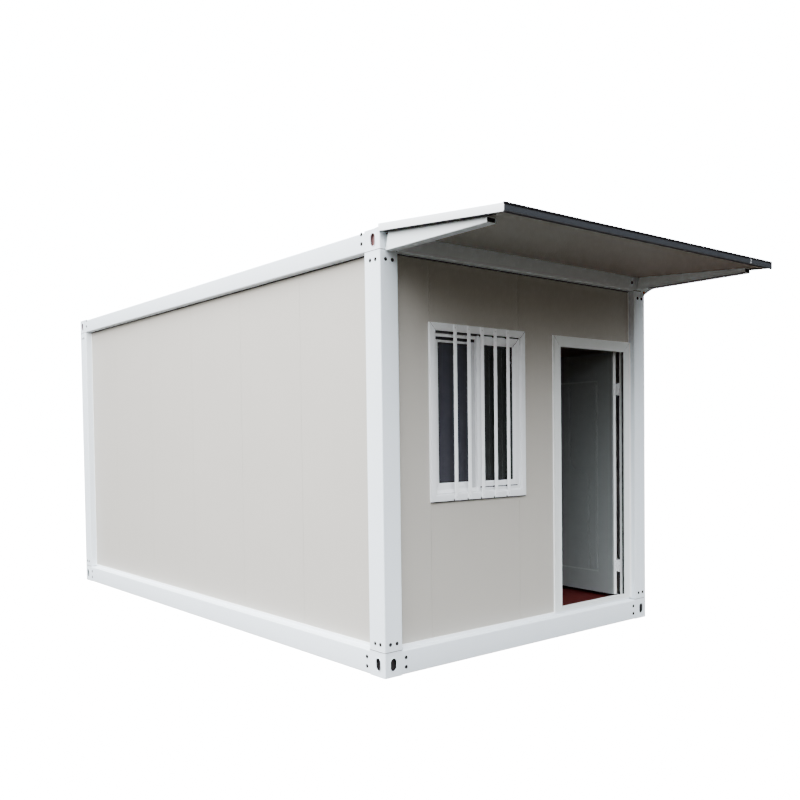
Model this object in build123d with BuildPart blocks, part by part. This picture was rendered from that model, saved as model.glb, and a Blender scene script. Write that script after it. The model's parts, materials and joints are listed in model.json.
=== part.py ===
from build123d import *
import os
from math import acos, degrees, sqrt

os.makedirs("parts", exist_ok=True)

# Overall size of the house in millimetres, without its canopy
house_width = 2760
house_depth = 5220
house_height = 2800

# Steel frame
post_width = 144
post_depth = 158
post_wall = 4
floor_corner_height = 162
roof_corner_height = 132
corner_wall = 10
steel = 4
cutting_extra = 1
floor_beam_lift = 10
floor_beam_height = 147
floor_flange_bottom = 60
roof_beam_drop = 6
roof_flange_top = 45
frame_fillet = 8
slot_height = 84
slot_width = 52
slot_center = 68
floor_slot_level = 80
roof_slot_level = 66

# Sandwich panels and the tracks that they stand in
panel_thickness = 50
panel_pitch = 855
first_panel = 840
front_first_panel = 306
narrowest_panel = 48
front_recess = 60
side_recess = 62
joint_gap = 1.6
tongue_depth = 12
tongue_width = 16
tongue_clearance = 0.8
track_height = 20
track_steel = 2

# Floor, ceiling and roof
floor_board = 18
joist_height = 110
joist_width = 50
joist_wall = 3
joist_count = 10
ceiling_thickness = 6
ceiling_bearing = 12
purlin_height = 80
purlin_width = 50
purlin_count = 5
roof_sheet_thickness = 3
roof_rib_height = 22
roof_rib_pitch = 190
rib_foot = 0.31
rib_crown = 0.40
seat_gap = 3

# Door
door_frame_width = 936
door_frame_top = 2250
door_jamb_width = 70
door_hinge_jamb_width = 84
door_head_width = 78
door_sill_height = 32
door_overlap = 15
door_frame_proud = 15
door_stop_depth = 20
door_stop_width = 12
door_leaf_thickness = 42
door_clearance = 5
door_open_angle = 93
moulding_width = 9
moulding_depth = 2
moulding_radius = 30
moulding_inset = 158
moulding_bottom = 170
moulding_top = 225
curve_upper_inset = 455
curve_lower_inset = 250
curve_level = 1210
curve_radius = 90
hinge_gap = 0.5
hinge_height = 100
hinge_pin_radius = 3.5
hinge_barrel_radius = 7
hinge_leaf_thickness = 2
hinge_leaf_width = 30
hinge_knuckle_gap = 1
hinge_pin_clearance = 0.4
hinge_levels = (434, 1875)
handle_level = 1150
handle_rise = 30
handle_backset = 62
handle_plate_width = 40
handle_plate_height = 220
handle_plate_thickness = 5
handle_standoff = 42
handle_radius = 9
handle_length = 120

# Window
window_left = 432
window_width = 930
window_bottom = 1078
window_height = 1180
window_overlap = 18
window_proud = 15
window_frame_width = 50
window_frame_depth = 70
sash_stile = 70
sash_thickness = 24
sash_gap = 2
sash_overlap = 30
sash_setback = 12
glass_thickness = 5
bar_count = 5
bar_width = 33
bar_thickness = 5
bar_pitch = 127
bar_margin = 4

# Canopy
canopy_reach = 1050
canopy_overhang = 20
canopy_root_top = 2818
canopy_tip_top = 2718
canopy_thickness = 44
canopy_trim = 2
canopy_lip = 30
arm_width = 70
arm_steel = 4
arm_reach = 890
arm_drop = 6
arm_foot = 30
arm_lean = 14
arm_inset = 45
gusset_reach = 220
gusset_drop = 138
gusset_radius = 180
gusset_thickness = 5

# Planes of the house, with the origin under the middle of its box
half_width = house_width / 2
front_y = (canopy_reach - house_depth) / 2
rear_y = front_y + house_depth
middle_y = (front_y + rear_y) / 2
floor_top = floor_beam_lift + floor_beam_height
wall_bottom = floor_top + track_steel
wall_top = house_height - roof_corner_height
width_run = house_width - 2 * post_width
depth_run = house_depth - 2 * post_depth
front_plane = Plane(origin=(0, front_y, 0), x_dir=(1, 0, 0), z_dir=(0, -1, 0))

# Depths behind the front plane that several pieces share
frame_face = front_recess - door_frame_proud
stop_level = frame_face + door_stop_depth
leaf_face = stop_level + door_clearance
leaf_back = leaf_face + door_leaf_thickness
wall_back = front_recess + panel_thickness


def save(part, name):
    part.label = name
    export_step(part, f"parts/{name}.step")


def corner_places(z):
    """The four outer corners, each with the signs that lead from it into the house."""
    places = []
    for sx in (1, -1):
        for sy in (1, -1):
            corner = (-sx * half_width, front_y if sy == 1 else rear_y, z)
            places.append((sx, sy, corner))
    return places


def post_centers(z, clearance=0):
    """The middles of the four corner columns at a height, each with a clearance all round."""
    return [
        (corner[0] + sx * (post_width + clearance) / 2, corner[1] + sy * (post_depth + clearance) / 2, z)
        for sx, sy, corner in corner_places(z)
    ]


# Hollow corner castings with an upright slot in each outer face and a flat one at top or bottom
def casting(name, bottom, height, slot_level, end_face, outward):
    middle = bottom + height / 2
    with BuildPart() as castings:
        with Locations(*post_centers(middle)):
            Box(post_width, post_depth, height)
        fillet(castings.edges().filter_by(Axis.Z), radius=frame_fillet)
        with Locations(*post_centers(middle)):
            hollow_height = height - 2 * corner_wall
            Box(post_width - 2 * corner_wall, post_depth - 2 * corner_wall, hollow_height, mode=Mode.SUBTRACT)
        for sx, sy, corner in corner_places(bottom + slot_level):
            front_origin = (corner[0] + sx * slot_center, corner[1], corner[2])
            side_origin = (corner[0], corner[1] + sy * slot_center, corner[2])
            for origin, facing in ((front_origin, (0, -sy, 0)), (side_origin, (-sx, 0, 0))):
                with BuildSketch(Plane(origin=origin, x_dir=(0, 0, 1), z_dir=facing)):
                    SlotOverall(slot_height, slot_width)
                extrude(amount=-corner_wall - cutting_extra, mode=Mode.SUBTRACT)
        for center in post_centers(end_face):
            with BuildSketch(Plane(origin=center, x_dir=(1, 0, 0), z_dir=(0, 0, outward))):
                SlotOverall(slot_height, slot_width)
            extrude(amount=-corner_wall - cutting_extra, mode=Mode.SUBTRACT)
    save(castings.part, name)


casting("floor_corner_castings", 0, floor_corner_height, floor_slot_level, 0, -1)
casting("roof_corner_castings", wall_top, roof_corner_height, roof_slot_level, house_height, 1)

# Corner posts
for sx, sy, corner in corner_places(floor_corner_height):
    side_name = "left" if sx == 1 else "right"
    end_name = "front" if sy == 1 else "rear"
    center = (corner[0] + sx * post_width / 2, corner[1] + sy * post_depth / 2, corner[2])
    with BuildPart() as post:
        with BuildSketch(Plane(origin=center)):
            RectangleRounded(post_width, post_depth, frame_fillet)
            inner_width = post_width - 2 * post_wall
            inner_depth = post_depth - 2 * post_wall
            RectangleRounded(inner_width, inner_depth, frame_fillet - post_wall, mode=Mode.SUBTRACT)
        extrude(amount=wall_top - floor_corner_height)
    save(post.part, f"post_{end_name}_{side_name}")


def cross_section(side):
    """The cross-section plane of one side, with X into the house, Y up and the side's middle at zero."""
    return {
        "left": Plane(origin=(-half_width, middle_y, 0), x_dir=(1, 0, 0), z_dir=(0, -1, 0)),
        "right": Plane(origin=(half_width, middle_y, 0), x_dir=(-1, 0, 0), z_dir=(0, 1, 0)),
        "front": Plane(origin=(0, front_y, 0), x_dir=(0, 1, 0), z_dir=(1, 0, 0)),
        "rear": Plane(origin=(0, rear_y, 0), x_dir=(0, -1, 0), z_dir=(-1, 0, 0)),
    }[side]


def profile(plane, points, start, end):
    """A closed outline in a cross-section plane, carried along the side from start to end."""
    with BuildPart() as run:
        with BuildSketch(plane.offset(start)):
            with BuildLine():
                Polyline(*points, close=True)
            make_face()
        extrude(amount=end - start)
    return run.part


def channel(bottom, top, flange_low, flange_high):
    """The outline of a folded channel with its web outside and its flanges inwards."""
    return [
        (0, bottom),
        (flange_low, bottom),
        (flange_low, bottom + steel),
        (steel, bottom + steel),
        (steel, top - steel),
        (flange_high, top - steel),
        (flange_high, top),
        (0, top),
    ]


# Floor and roof beams, with the wide flange as deep as the posts
for side in ("left", "right", "front", "rear"):
    along, wide = (depth_run, post_width) if side in ("left", "right") else (width_run, post_depth)
    plane = cross_section(side)
    floor_outline = channel(floor_beam_lift, floor_top, floor_flange_bottom, wide)
    save(profile(plane, floor_outline, -along / 2, along / 2), f"floor_beam_{side}")
    roof_outline = channel(wall_top, house_height - roof_beam_drop, wide, roof_flange_top)
    save(profile(plane, roof_outline, -along / 2, along / 2), f"roof_beam_{side}")

# Floor joists between the long floor beams, coped under their flanges
with BuildPart() as joists:
    with BuildSketch(Plane(origin=(0, middle_y, floor_top), x_dir=(0, 1, 0), z_dir=(1, 0, 0))):
        with Locations((0, -joist_height / 2)):
            with GridLocations(depth_run / joist_count, 1, joist_count, 1):
                Rectangle(joist_width, joist_height)
                Rectangle(joist_width - 2 * joist_wall, joist_height - 2 * joist_wall, mode=Mode.SUBTRACT)
    extrude(amount=half_width - steel, both=True)
    cope = post_width - steel
    with Locations(*[(sx * (half_width - steel - cope / 2), middle_y, floor_top) for sx in (-1, 1)]):
        Box(cope, depth_run, 2 * steel, mode=Mode.SUBTRACT)
save(joists.part, "floor_joists")

# Floor board between the wall tracks, from behind the door frame to the rear wall
board_front = front_y + max(leaf_back, wall_back + track_steel) + seat_gap
board_rear = rear_y - wall_back - track_steel
board_width = house_width - 2 * (side_recess + panel_thickness + track_steel)
with BuildPart() as floor:
    with BuildSketch(Plane.XY.offset(floor_top)):
        with Locations((0, (board_front + board_rear) / 2)):
            Rectangle(board_width, board_rear - board_front)
        with Locations(*post_centers(0, seat_gap)):
            Rectangle(post_width + seat_gap, post_depth + seat_gap, mode=Mode.SUBTRACT)
    extrude(amount=floor_board)
save(floor.part, "floor_board")

# Ceiling sheet on the wide flanges of the roof beams
ceiling_level = wall_top + steel
with BuildPart() as ceiling:
    with BuildSketch(Plane.XY.offset(ceiling_level)):
        with Locations((0, middle_y)):
            Rectangle(width_run + 2 * ceiling_bearing, depth_run + 2 * ceiling_bearing)
        with Locations(*post_centers(0, seat_gap)):
            Rectangle(post_width + seat_gap, post_depth + seat_gap, mode=Mode.SUBTRACT)
    extrude(amount=ceiling_thickness)
save(ceiling.part, "ceiling")

# Purlins across the roof frame
purlin_level = ceiling_level + ceiling_thickness + seat_gap
with BuildPart() as purlins:
    with BuildSketch(Plane(origin=(0, middle_y, purlin_level), x_dir=(0, 1, 0), z_dir=(1, 0, 0))):
        with Locations((0, purlin_height / 2)):
            with GridLocations(depth_run / purlin_count, 1, purlin_count, 1):
                Rectangle(purlin_width, purlin_height)
                Rectangle(purlin_width - 2 * joist_wall, purlin_height - 2 * joist_wall, mode=Mode.SUBTRACT)
    extrude(amount=half_width - steel, both=True)
save(purlins.part, "roof_purlins")


def rib_line(half_span, pitch, height):
    """The cross-section line of a trapezoidal roof sheet, with flats out to both edges."""
    count = int(2 * half_span // pitch)
    points = [(-half_span, 0)]
    for rib in range(count):
        left = (rib - count / 2) * pitch
        points += [
            (left + pitch * rib_foot, 0),
            (left + pitch * rib_crown, height),
            (left + pitch * (1 - rib_crown), height),
            (left + pitch * (1 - rib_foot), 0),
        ]
    return [*points, (half_span, 0)]


# Ribbed roof sheet on the purlins, with its ribs along the house and its corners cut round the castings
sheet_level = purlin_level + purlin_height
sheet_margin = steel + seat_gap
with BuildPart() as roof_sheet:
    with BuildSketch(Plane(origin=(0, middle_y, sheet_level), x_dir=(1, 0, 0), z_dir=(0, -1, 0))):
        lower = rib_line(half_width - sheet_margin, roof_rib_pitch, roof_rib_height)
        upper = [(x, z + roof_sheet_thickness) for x, z in lower]
        with BuildLine():
            Polyline(*upper, *reversed(lower), close=True)
        make_face()
    extrude(amount=house_depth / 2 - sheet_margin, both=True)
    with Locations(*post_centers(sheet_level, seat_gap)):
        Box(post_width + seat_gap, post_depth + seat_gap, roof_corner_height, mode=Mode.SUBTRACT)
save(roof_sheet.part, "roof_sheet")

# Places of the door and the window along the front
door_right = half_width - post_width
door_left = door_right - door_frame_width
door_bottom = floor_top + track_height
body_left = door_left + door_overlap
body_top = door_frame_top - door_overlap
joint_a = -half_width + post_width + front_first_panel
joint_b = joint_a + panel_pitch
window_x = -half_width + window_left
hole_left = window_x + window_overlap
hole_right = window_x + window_width - window_overlap
hole_bottom = window_bottom + window_overlap
hole_top = window_bottom + window_height - window_overlap


# Tracks round the foot of the walls, open upwards, and the threshold under the door frame
def track_outline(recess):
    outer = recess - track_steel
    inner = recess + panel_thickness + track_steel
    return [
        (outer, floor_top),
        (inner, floor_top),
        (inner, door_bottom),
        (inner - track_steel, door_bottom),
        (inner - track_steel, wall_bottom),
        (outer + track_steel, wall_bottom),
        (outer + track_steel, door_bottom),
        (outer, door_bottom),
    ]


with BuildPart() as tracks:
    for side, recess, start, end in (
        ("left", side_recess, -depth_run / 2, depth_run / 2),
        ("right", side_recess, -depth_run / 2, depth_run / 2),
        ("rear", front_recess, -width_run / 2, width_run / 2),
        ("front", front_recess, -width_run / 2, body_left),
    ):
        add(profile(cross_section(side), track_outline(recess), start, end))
save(tracks.part, "wall_tracks")

threshold_front = front_recess - track_steel
threshold_outline = [
    (threshold_front, floor_top),
    (leaf_back, floor_top),
    (leaf_back, door_bottom),
    (threshold_front, door_bottom),
]
save(profile(cross_section("front"), threshold_outline, body_left, door_right), "door_threshold")


# Wall panels with tongue and groove edges, standing in the tracks
def panel_run(plane, length):
    """The panels of one wall in plan, with a first panel and then one at every pitch."""
    joints = []
    joint = first_panel
    while joint < length - narrowest_panel:
        joints.append(joint)
        joint += panel_pitch
    edges = [0, *joints, length]
    tongue = tongue_depth - joint_gap - tongue_clearance
    with BuildPart() as run:
        for index in range(len(edges) - 1):
            left = edges[index] + (joint_gap / 2 if index else 0)
            right = edges[index + 1] - (joint_gap / 2 if index < len(edges) - 2 else 0)
            with BuildSketch(plane.offset(wall_bottom)):
                with Locations(((left + right) / 2, panel_thickness / 2)):
                    Rectangle(right - left, panel_thickness)
                if index:
                    with Locations((left, panel_thickness / 2)):
                        Rectangle(2 * tongue_depth, tongue_width + 2 * tongue_clearance, mode=Mode.SUBTRACT)
                if index < len(edges) - 2:
                    with Locations((right + tongue / 2, panel_thickness / 2)):
                        Rectangle(tongue, tongue_width)
            extrude(amount=wall_top - wall_bottom)
    return run.part


left_x = -half_width + side_recess + panel_thickness
right_x = half_width - side_recess
left_plane = Plane(origin=(left_x, front_y + post_depth, 0), x_dir=(0, 1, 0), z_dir=(0, 0, 1))
right_plane = Plane(origin=(right_x, front_y + post_depth, 0), x_dir=(0, 1, 0), z_dir=(0, 0, 1))
rear_plane = Plane(origin=(-half_width + post_width, rear_y - wall_back, 0))
save(panel_run(left_plane, depth_run), "left_wall_panels")
save(panel_run(right_plane, depth_run), "right_wall_panels")
save(panel_run(rear_plane, width_run), "rear_wall_panels")


# Front wall, split beside and over the doorway and round the window
def front_piece(left, right, bottom, top, name):
    with BuildPart() as piece:
        with BuildSketch(front_plane.offset(-front_recess)):
            with Locations(((left + right) / 2, (bottom + top) / 2)):
                Rectangle(right - left, top - bottom)
            with Locations(((hole_left + hole_right) / 2, (hole_bottom + hole_top) / 2)):
                Rectangle(hole_right - hole_left, hole_top - hole_bottom, mode=Mode.SUBTRACT)
        extrude(amount=-panel_thickness)
    save(piece.part, name)


half_joint = joint_gap / 2
window_level = (hole_bottom + hole_top) / 2
front_piece(-half_width + post_width, joint_a - half_joint, wall_bottom, wall_top, "front_wall_left")
front_piece(joint_a + half_joint, joint_b - half_joint, wall_bottom, window_level, "front_wall_below_window")
front_piece(joint_a + half_joint, joint_b - half_joint, window_level, wall_top, "front_wall_above_window")
front_piece(joint_b + half_joint, body_left, wall_bottom, wall_top, "front_wall_middle")
front_piece(body_left, door_right, body_top, wall_top, "front_wall_over_door")


# Window frame, two sliding sashes on their own tracks, panes and guard bars
def frame_ring(middle, level, rings):
    """Rectangular frames one behind the other, each given by its face, size, band and depth."""
    with BuildPart() as frame:
        for face, width, height, band, depth in rings:
            with BuildSketch(front_plane.offset(-face)):
                with Locations((middle, level)):
                    Rectangle(width, height)
                    Rectangle(width - 2 * band, height - 2 * band, mode=Mode.SUBTRACT)
            extrude(amount=-depth)
    return frame.part


window_face = front_recess - window_proud
window_middle = window_x + window_width / 2
window_flange = (window_face, window_width, window_height, window_frame_width, window_proud)
window_body = (
    front_recess,
    hole_right - hole_left,
    hole_top - hole_bottom,
    window_frame_width - window_overlap,
    window_frame_depth - window_proud,
)
save(frame_ring(window_middle, window_level, (window_flange, window_body)), "window_frame")

sash_space = window_width - 2 * window_frame_width
sash_width = (sash_space + sash_overlap) / 2
sash_height = window_height - 2 * window_frame_width
outer_track = window_face + sash_setback
inner_track = outer_track + sash_thickness + sash_gap
sashes = (
    ("outer", window_middle + (sash_space - sash_width) / 2, outer_track),
    ("inner", window_middle - (sash_space - sash_width) / 2, inner_track),
)
for name, middle, track in sashes:
    sash = frame_ring(middle, window_level, ((track, sash_width, sash_height, sash_stile, sash_thickness),))
    save(sash, f"window_sash_{name}")
    with BuildPart() as pane:
        with BuildSketch(front_plane.offset(-track - (sash_thickness - glass_thickness) / 2)):
            with Locations((middle, window_level)):
                Rectangle(sash_width - 2 * sash_stile, sash_height - 2 * sash_stile)
        extrude(amount=-glass_thickness)
    save(pane.part, f"window_pane_{name}")

with BuildPart() as bars:
    with BuildSketch(front_plane.offset(-window_face + bar_thickness)):
        with Locations((window_middle, window_level)):
            with GridLocations(bar_pitch, 0, bar_count, 1):
                Rectangle(bar_width, window_height - 2 * bar_margin)
    extrude(amount=-bar_thickness)
save(bars.part, "window_bars")

# Door frame with a flange over the panels and a stop all round, beside the right post
opening_left = door_left + door_jamb_width
opening_right = door_right - door_hinge_jamb_width
opening_bottom = door_bottom + door_sill_height
opening_top = door_frame_top - door_head_width
rebate_left = opening_left - door_stop_width
rebate_right = opening_right + door_stop_width
rebate_bottom = opening_bottom - door_stop_width
rebate_top = opening_top + door_stop_width


def front_box(left, right, bottom, top, face, depth, mode):
    """A box in the part being built, given by its sides and its depth behind the front plane."""
    center = ((left + right) / 2, front_y + face + depth / 2, (bottom + top) / 2)
    with Locations(center):
        Box(right - left, depth, top - bottom, mode=mode)


with BuildPart() as door_frame:
    front_box(door_left, door_right, door_bottom, door_frame_top, frame_face, door_frame_proud, Mode.ADD)
    front_box(body_left, door_right, door_bottom, body_top, front_recess, leaf_back - front_recess, Mode.ADD)
    through = leaf_back - frame_face
    front_box(opening_left, opening_right, opening_bottom, opening_top, frame_face, through, Mode.SUBTRACT)
    seat = leaf_back - stop_level
    front_box(rebate_left, rebate_right, rebate_bottom, rebate_top, stop_level, seat, Mode.SUBTRACT)
save(door_frame.part, "door_frame")

# Door leaf, drawn closed and then turned about its hinge line to where it stands open
leaf_left = rebate_left + door_clearance
leaf_right = rebate_right - door_clearance
leaf_bottom = rebate_bottom + door_clearance
leaf_top = rebate_top - door_clearance
hinge_x = (leaf_right + rebate_right) / 2
hinge_y = front_y + leaf_back + hinge_barrel_radius + hinge_gap
hinge_axis = Axis((hinge_x, hinge_y, 0), (0, 0, 1))


def swing(part):
    return part.rotate(hinge_axis, -door_open_angle)


# Pressed mouldings in both faces: a rounded frame, and a line that steps sideways in an S at mid height
frame_low = leaf_bottom + moulding_bottom
frame_high = leaf_top - moulding_top
upper_x = leaf_right - curve_upper_inset
lower_x = leaf_right - curve_lower_inset
curve_points = (
    (upper_x, frame_high - moulding_width / 2),
    (upper_x, curve_level),
    (lower_x, curve_level),
    (lower_x, frame_low + moulding_width / 2),
)
with BuildPart() as leaf:
    front_box(leaf_left, leaf_right, leaf_bottom, leaf_top, leaf_face, door_leaf_thickness, Mode.ADD)
    for face, direction in ((leaf_face, -1), (leaf_back, 1)):
        with BuildSketch(front_plane.offset(-face)):
            with Locations(((leaf_left + leaf_right) / 2, (frame_low + frame_high) / 2)):
                ring_width = leaf_right - leaf_left - 2 * moulding_inset
                ring_height = frame_high - frame_low
                RectangleRounded(ring_width, ring_height, moulding_radius)
                RectangleRounded(
                    ring_width - 2 * moulding_width,
                    ring_height - 2 * moulding_width,
                    moulding_radius - moulding_width,
                    mode=Mode.SUBTRACT,
                )
            with BuildLine():
                FilletPolyline(*curve_points, radius=curve_radius)
            trace(line_width=moulding_width)
        extrude(amount=direction * moulding_depth, mode=Mode.SUBTRACT)
save(swing(leaf.part), "door_leaf")

# Butt hinges in the gap between leaf and jamb: two knuckles and the pin on the frame, one knuckle on the leaf
knuckle = hinge_height / 3
wing_y = front_y + leaf_back - hinge_leaf_width / 2
neck_length = hinge_y - front_y - leaf_back
neck_y = hinge_y - neck_length / 2


def hinge_half(wing_x, steps):
    """The wings of one half of the hinges, with necks and knuckles at the given steps from the middle."""
    for level in hinge_levels:
        with Locations((wing_x, wing_y, level)):
            Box(hinge_leaf_thickness, hinge_leaf_width, hinge_height)
        for step in steps:
            height = level + step * knuckle
            with Locations((wing_x, neck_y, height)):
                Box(hinge_leaf_thickness, neck_length, knuckle - hinge_knuckle_gap)
            with Locations((hinge_x, hinge_y, height)):
                Cylinder(hinge_barrel_radius, knuckle - hinge_knuckle_gap)


pin_places = [(hinge_x, hinge_y, level) for level in hinge_levels]
with BuildPart() as frame_hinges:
    hinge_half(rebate_right - hinge_leaf_thickness / 2, (-1, 1))
    with Locations(*pin_places):
        Cylinder(hinge_pin_radius, hinge_height)
save(frame_hinges.part, "door_hinges_frame")

with BuildPart() as leaf_hinges:
    hinge_half(leaf_right + hinge_leaf_thickness / 2, (0,))
    with Locations(*pin_places):
        Cylinder(hinge_pin_radius + hinge_pin_clearance, hinge_height, mode=Mode.SUBTRACT)
save(swing(leaf_hinges.part), "door_hinges_leaf")

# Lever handles on both faces of the leaf, near its free edge
handle_x = leaf_left + handle_backset
lever_level = handle_level + handle_rise
lever_reach = handle_plate_thickness + handle_standoff
with BuildPart() as handles:
    for face, outward in ((front_y + leaf_face, -1), (front_y + leaf_back, 1)):
        with Locations((handle_x, face + outward * handle_plate_thickness / 2, handle_level)):
            Box(handle_plate_width, handle_plate_thickness, handle_plate_height)
        with BuildSketch(Plane(origin=(handle_x, face, lever_level), x_dir=(1, 0, 0), z_dir=(0, outward, 0))):
            Circle(handle_radius)
        extrude(amount=lever_reach)
        lever_y = face + outward * (lever_reach - handle_radius)
        lever_origin = (handle_x - handle_radius, lever_y, lever_level)
        with BuildSketch(Plane(origin=lever_origin, x_dir=(0, 1, 0), z_dir=(1, 0, 0))):
            Circle(handle_radius)
        extrude(amount=handle_length)
save(swing(handles.part), "door_handles")

# Canopy over the front, sloping down from the roof frame, with a folded trim round its free edges
section = Plane(origin=(-half_width - canopy_overhang, front_y, 0), x_dir=(0, -1, 0), z_dir=(1, 0, 0))
canopy_width = house_width + 2 * canopy_overhang
canopy_slope = (canopy_root_top - canopy_tip_top) / canopy_reach


def canopy_band(left, right, start, end, over, under):
    """A strip of the canopy between two depths under its top, given along the front and out of the wall."""
    root = canopy_root_top - canopy_slope * start
    tip = canopy_root_top - canopy_slope * end
    outline = [(start, under - root), (end, under - tip), (end, over - tip), (start, over - root)]
    return profile(section, outline, left, right)


core_top, core_bottom = canopy_trim, canopy_thickness - canopy_trim
inside = canopy_reach - canopy_trim
core = canopy_band(canopy_trim, canopy_width - canopy_trim, 0, inside, core_top, core_bottom)
save(core, "canopy_panel")

with BuildPart() as side_trims:
    for left, hollow_left in ((0, canopy_trim), (canopy_width - canopy_lip, canopy_width - canopy_lip)):
        add(canopy_band(left, left + canopy_lip, 0, canopy_reach, 0, canopy_thickness))
        hollow_right = hollow_left + canopy_lip - canopy_trim
        add(canopy_band(hollow_left, hollow_right, 0, inside, core_top, core_bottom), mode=Mode.SUBTRACT)
save(side_trims.part, "canopy_side_trims")

trim_left, trim_right, trim_start = canopy_lip, canopy_width - canopy_lip, canopy_reach - canopy_lip
with BuildPart() as front_trim:
    add(canopy_band(trim_left, trim_right, trim_start, canopy_reach, 0, canopy_thickness))
    add(canopy_band(trim_left, trim_right, trim_start, inside, core_top, core_bottom), mode=Mode.SUBTRACT)
save(front_trim.part, "canopy_front_trim")

# Arms under the canopy: open tubes, level below and sloping above, with a gusset under the right one
arm_bottom = wall_top - arm_drop


def under_canopy(out):
    """The height of the canopy's underside at a distance out of the wall."""
    return canopy_root_top - core_bottom - canopy_slope * out


arm_outline = [
    (0, -arm_bottom),
    (arm_reach, -arm_bottom),
    (arm_reach, -under_canopy(arm_reach)),
    (arm_lean, -under_canopy(arm_lean)),
    (0, -arm_bottom - arm_foot),
]
bore_start, bore_end = -arm_lean, arm_reach + arm_lean
bore_outline = [
    (bore_start, -arm_bottom - arm_steel),
    (bore_end, -arm_bottom - arm_steel),
    (bore_end, arm_steel - under_canopy(bore_end)),
    (bore_start, arm_steel - under_canopy(bore_start)),
]
arc_rise = gusset_radius - gusset_drop
arc_start = gusset_reach - sqrt(gusset_radius**2 - arc_rise**2)
arc_angle = degrees(acos(arc_rise / gusset_radius))
gusset_foot = gusset_drop - arm_bottom
for side, left in (("left", arm_inset), ("right", house_width - arm_inset - arm_width)):
    start = left + canopy_overhang
    with BuildPart() as arm:
        add(profile(section, arm_outline, start, start + arm_width))
        bore = profile(section, bore_outline, start + arm_steel, start + arm_width - arm_steel)
        add(bore, mode=Mode.SUBTRACT)
        if side == "right":
            with BuildSketch(section.offset(start)):
                with BuildLine():
                    CenterArc((gusset_reach, gusset_radius - arm_bottom), gusset_radius, -90, -arc_angle)
                    Polyline(
                        (arc_start, gusset_foot),
                        (0, gusset_foot),
                        (0, -arm_bottom),
                        (gusset_reach, -arm_bottom),
                    )
                make_face()
            extrude(amount=gusset_thickness)
    save(arm.part, f"canopy_arm_{side}")
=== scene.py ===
"""The looks of a steel container house: its finishes, fasteners, seals and seams, and the stage it stands on."""

import json
import math

import bpy
import numpy as np
from mathutils import Matrix, Vector


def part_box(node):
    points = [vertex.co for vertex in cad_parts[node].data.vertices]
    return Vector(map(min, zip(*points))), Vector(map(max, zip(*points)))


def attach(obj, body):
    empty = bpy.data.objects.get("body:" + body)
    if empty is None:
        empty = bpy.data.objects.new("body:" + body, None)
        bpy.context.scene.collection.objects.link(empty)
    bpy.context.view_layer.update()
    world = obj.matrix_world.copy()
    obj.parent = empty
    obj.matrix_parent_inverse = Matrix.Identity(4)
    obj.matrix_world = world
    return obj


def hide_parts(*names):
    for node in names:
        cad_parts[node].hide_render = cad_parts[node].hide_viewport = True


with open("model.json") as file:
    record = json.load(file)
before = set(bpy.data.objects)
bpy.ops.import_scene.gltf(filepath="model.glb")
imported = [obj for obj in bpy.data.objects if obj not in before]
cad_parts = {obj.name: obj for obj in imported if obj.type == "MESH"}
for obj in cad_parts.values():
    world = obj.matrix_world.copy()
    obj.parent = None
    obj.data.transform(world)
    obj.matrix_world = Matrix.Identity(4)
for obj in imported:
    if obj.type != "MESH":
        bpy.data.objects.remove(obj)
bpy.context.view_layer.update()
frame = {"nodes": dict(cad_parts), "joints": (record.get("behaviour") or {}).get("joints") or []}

bl_info = {
    "name": "Container House Finish",
    "version": (1, 0, 0),
    "blender": (4, 5, 0),
    "location": "View3D > Sidebar > House",
    "description": "Gives a container house its finishes, fasteners, seals and stage",
    "category": "Object",
}

# Planes of the house, read from the frame
(LEFT, FRONT, _), (RIGHT, REAR, FLOOR_CASTING_TOP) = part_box("floor_corner_castings")
ROOF_CASTING_BOTTOM, ROOF_TOP = (corner.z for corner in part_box("roof_corner_castings"))
POST_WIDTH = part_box("post_front_left")[1].x - LEFT
POST_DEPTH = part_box("post_front_left")[1].y - FRONT
FLOOR_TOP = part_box("floor_beam_front")[1].z

# Directions: along the front to the right, into the house, and up
ACROSS, INWARD, UP = (1, 0, 0), (0, 1, 0), (0, 0, 1)

# Height of the lock's middle above the foot of the handle plates
LOCK_RISE = 0.09

# The door joint: the leaf is drawn closed and turned about the hinge line to where it stands open
HINGE = np.array(frame["joints"][0]["pos_m"])
OPEN_TURN = math.radians(frame["joints"][0]["range_deg"][0])


def turned_about_hinge(points, angle):
    """Points turned about the upright hinge line: x and y go through a plane rotation, z stays."""
    cosine, sine = math.cos(angle), math.sin(angle)
    spin = np.array([(cosine, sine, 0), (-sine, cosine, 0), (0, 0, 1)])
    return (np.asarray(points, float) - HINGE) @ spin + HINGE


def opened(rings):
    """Rings drawn on the closed leaf, carried to where it stands open."""
    return turned_about_hinge(rings, OPEN_TURN)


def closed_box(node):
    """The lowest and highest corners of a node on the door while it is shut."""
    mesh = frame["nodes"][node].data
    points = np.empty(len(mesh.vertices) * 3)
    mesh.vertices.foreach_get("co", points)
    shut = turned_about_hinge(points.reshape(-1, 3), -OPEN_TURN)
    return shut.min(0), shut.max(0)


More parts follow.
